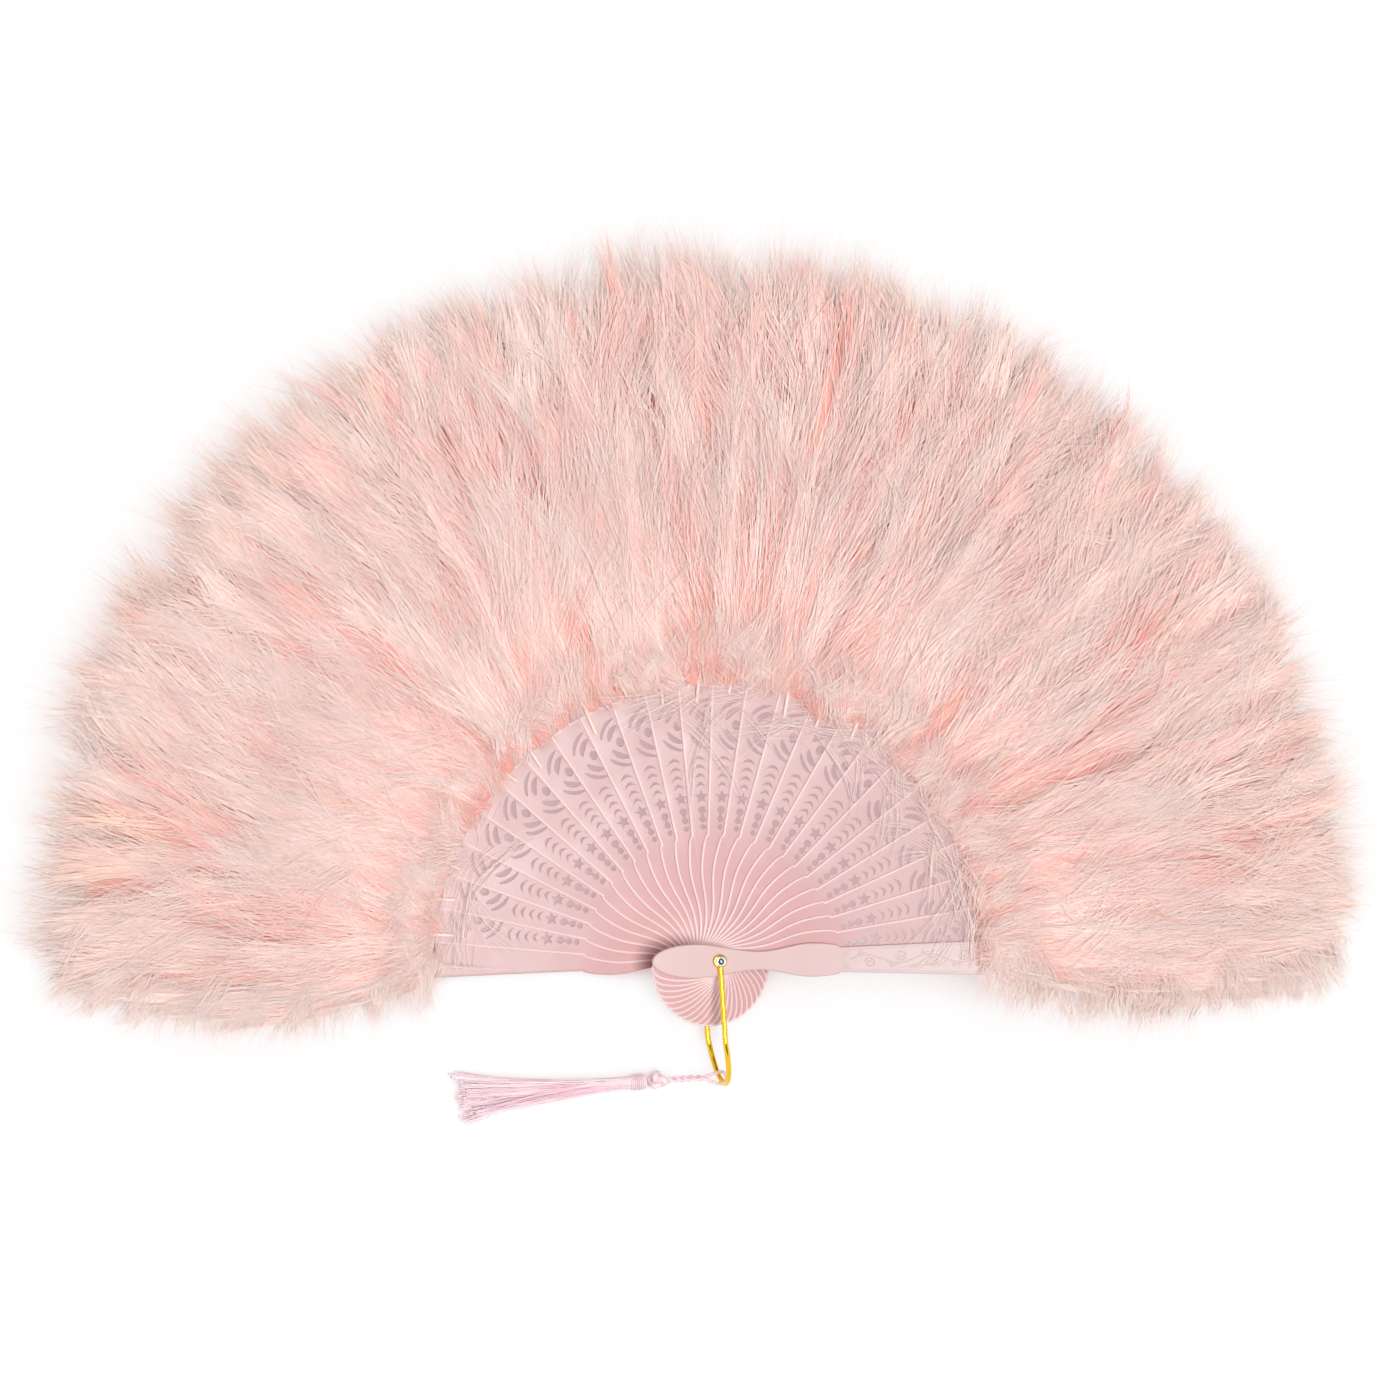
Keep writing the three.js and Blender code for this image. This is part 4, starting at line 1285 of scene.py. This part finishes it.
class FEATHERFAN_OT_stage(bpy.types.Operator):
    """White table, soft light from above and the camera almost straight over the spread fan"""

    bl_idname = "feather_fan.stage"
    bl_label = "Table, light and camera"

    def execute(self, context):
        self.camera(context)
        self.floor(context)
        self.sky(context)
        self.lamp(context)
        context.scene.view_settings.view_transform = "Standard"
        return {"FINISHED"}

    def camera(self, context):
        away = Vector((-math.sin(CAMERA_TILT), 0.0, math.cos(CAMERA_TILT)))
        right = Vector((math.cos(CAMERA_TILT), 0.0, math.sin(CAMERA_TILT)))
        data = bpy.data.cameras.new("camera")
        data.sensor_width = CAMERA_SENSOR
        data.lens = CAMERA_SENSOR * CAMERA_FAR / VIEW_WIDE
        data.clip_end = 50.0
        camera = bpy.data.objects.new("camera", data)
        spin = Matrix((right, Vector((0.0, 1.0, 0.0)), away)).transposed().to_4x4()
        camera.matrix_world = Matrix.Translation(CAMERA_TARGET + CAMERA_FAR * away) @ spin
        context.scene.collection.objects.link(camera)
        context.scene.camera = camera

    def floor(self, context):
        """A table that shows white, with a painted mauve shade where the blades or the tails lie close over
        it.
        """
        bm = bmesh.new()
        bmesh.ops.create_grid(bm, x_segments=1, y_segments=1, size=TABLE_HALF)
        mesh = to_mesh(bm, "table")
        floor = bpy.data.objects.new("table", mesh)
        floor.location = (0, 0, TABLE_Z)
        context.scene.collection.objects.link(floor)
        tones = settings().colours
        finish, tree, shader = blank_finish("table_white", Base_Color=(*tones.floor, 1.0), Roughness=0.9)
        # Painted shade: the white glow turns mauve where the plates and the down close the table in
        shut = node(tree, "ShaderNodeAmbientOcclusion", {"Distance": SHADE_REACH}, samples=8)
        clear = span(tree, shut.outputs["AO"], 0.25, 0.62)
        place = node(tree, "ShaderNodeTexCoord").outputs["Object"]
        far = node(tree, "ShaderNodeVectorMath", {0: place}, operation="LENGTH").outputs["Value"]
        under_down = span(tree, far, BLADE_END, 1.3 * BLADE_END, most=0.85)
        tone = colour_mix(tree, tones.floor_shade, WHITE, calc(tree, "MAXIMUM", clear, under_down))
        glow = node(tree, "ShaderNodeEmission", {"Color": tone})
        path = node(tree, "ShaderNodeLightPath").outputs
        seen = calc(tree, "MAXIMUM", path["Is Camera Ray"], path["Is Glossy Ray"])
        seen = calc(tree, "MAXIMUM", seen, path["Is Transmission Ray"])
        feeds = {0: calc(tree, "MULTIPLY", seen, GLOW_SHARE), 1: shader.outputs[0], 2: glow.outputs[0]}
        shown = node(tree, "ShaderNodeMixShader", feeds)
        tree.links.new(shown.outputs[0], tree.nodes["Material Output"].inputs["Surface"])
        mesh.materials.append(finish)

    def sky(self, context):
        """Soft light from all round. It shows as white, and dark overhead to the metal, for contrast."""
        world = bpy.data.worlds.new("studio")
        context.scene.world = world
        world.use_nodes = True
        tree = world.node_tree
        sky = tree.nodes["Background"]
        sky.inputs["Color"].default_value = SKY_COLOUR
        sky.inputs["Strength"].default_value = SKY_STRENGTH
        white = node(tree, "ShaderNodeBackground", {"Color": (*WHITE, 1.0), "Strength": 1.0})
        dark = node(tree, "ShaderNodeBackground", {"Color": OVERHEAD_COLOUR})
        path = node(tree, "ShaderNodeLightPath").outputs
        place = node(tree, "ShaderNodeTexCoord").outputs["Generated"]
        split = node(tree, "ShaderNodeSeparateXYZ", {"Vector": place})
        overhead = calc(tree, "MULTIPLY", span(tree, split.outputs["Z"], 0.72, 0.9), path["Is Glossy Ray"])
        seen = calc(tree, "MAXIMUM", path["Is Camera Ray"], path["Is Glossy Ray"])
        shown = node(tree, "ShaderNodeMixShader", {0: seen, 1: sky.outputs[0], 2: white.outputs[0]})
        shown = node(tree, "ShaderNodeMixShader", {0: overhead, 1: shown.outputs[0], 2: dark.outputs[0]})
        tree.links.new(shown.outputs[0], tree.nodes["World Output"].inputs["Surface"])

    def lamp(self, context):
        lamp = bpy.data.lights.new("softbox", "AREA")
        lamp.shape = "DISK"
        lamp.size = LAMP_SIZE
        lamp.energy = LAMP_WATTS
        softbox = bpy.data.objects.new("softbox", lamp)
        softbox.location = LAMP_AT
        softbox.rotation_euler = (LAMP_TARGET - LAMP_AT).to_track_quat("-Z", "Y").to_euler()
        context.scene.collection.objects.link(softbox)


class FEATHERFAN_PT_panel(bpy.types.Panel):
    """Sizes, colours and making of the feather fan"""

    bl_idname = "FEATHERFAN_PT_panel"
    bl_label = "Feather fan"
    bl_space_type = "VIEW_3D"
    bl_region_type = "UI"
    bl_category = "Feather fan"

    def draw(self, context):
        fan = context.scene.feather_fan
        for group in (fan.plates, fan.plumes, fan.tassel, fan.colours):
            box = self.layout.box()
            for name in group.__annotations__:
                box.prop(group, name)
        for operator in OPERATORS:
            self.layout.operator(operator.bl_idname)


OPERATORS = (
    FEATHERFAN_OT_stage,
    FEATHERFAN_OT_tassel_cord,
    FEATHERFAN_OT_tassel,
    FEATHERFAN_OT_bail,
    FEATHERFAN_OT_rivet,
    FEATHERFAN_OT_sticks,
    FEATHERFAN_OT_guards,
    FEATHERFAN_OT_plumes,
)
CLASSES = (
    FanPlateSizes,
    FanPlumeSizes,
    FanTasselSizes,
    FanColours,
    FeatherFanSettings,
    *OPERATORS,
    FEATHERFAN_PT_panel,
)


def register():
    for each in CLASSES:
        bpy.utils.register_class(each)
    said = "Sizes and colours of the feather fan"
    bpy.types.Scene.feather_fan = settings_group(FeatherFanSettings, "Feather fan", said)


def unregister():
    del bpy.types.Scene.feather_fan
    for each in reversed(CLASSES):
        bpy.utils.unregister_class(each)


def main():
    register()
    bpy.ops.feather_fan.stage()
    bpy.ops.feather_fan.tassel_cord()
    bpy.ops.feather_fan.tassel()
    bpy.ops.feather_fan.bail()
    bpy.ops.feather_fan.rivet()
    bpy.ops.feather_fan.sticks()
    bpy.ops.feather_fan.guards()
    bpy.ops.feather_fan.plumes()


if __name__ == "__main__":
    main()
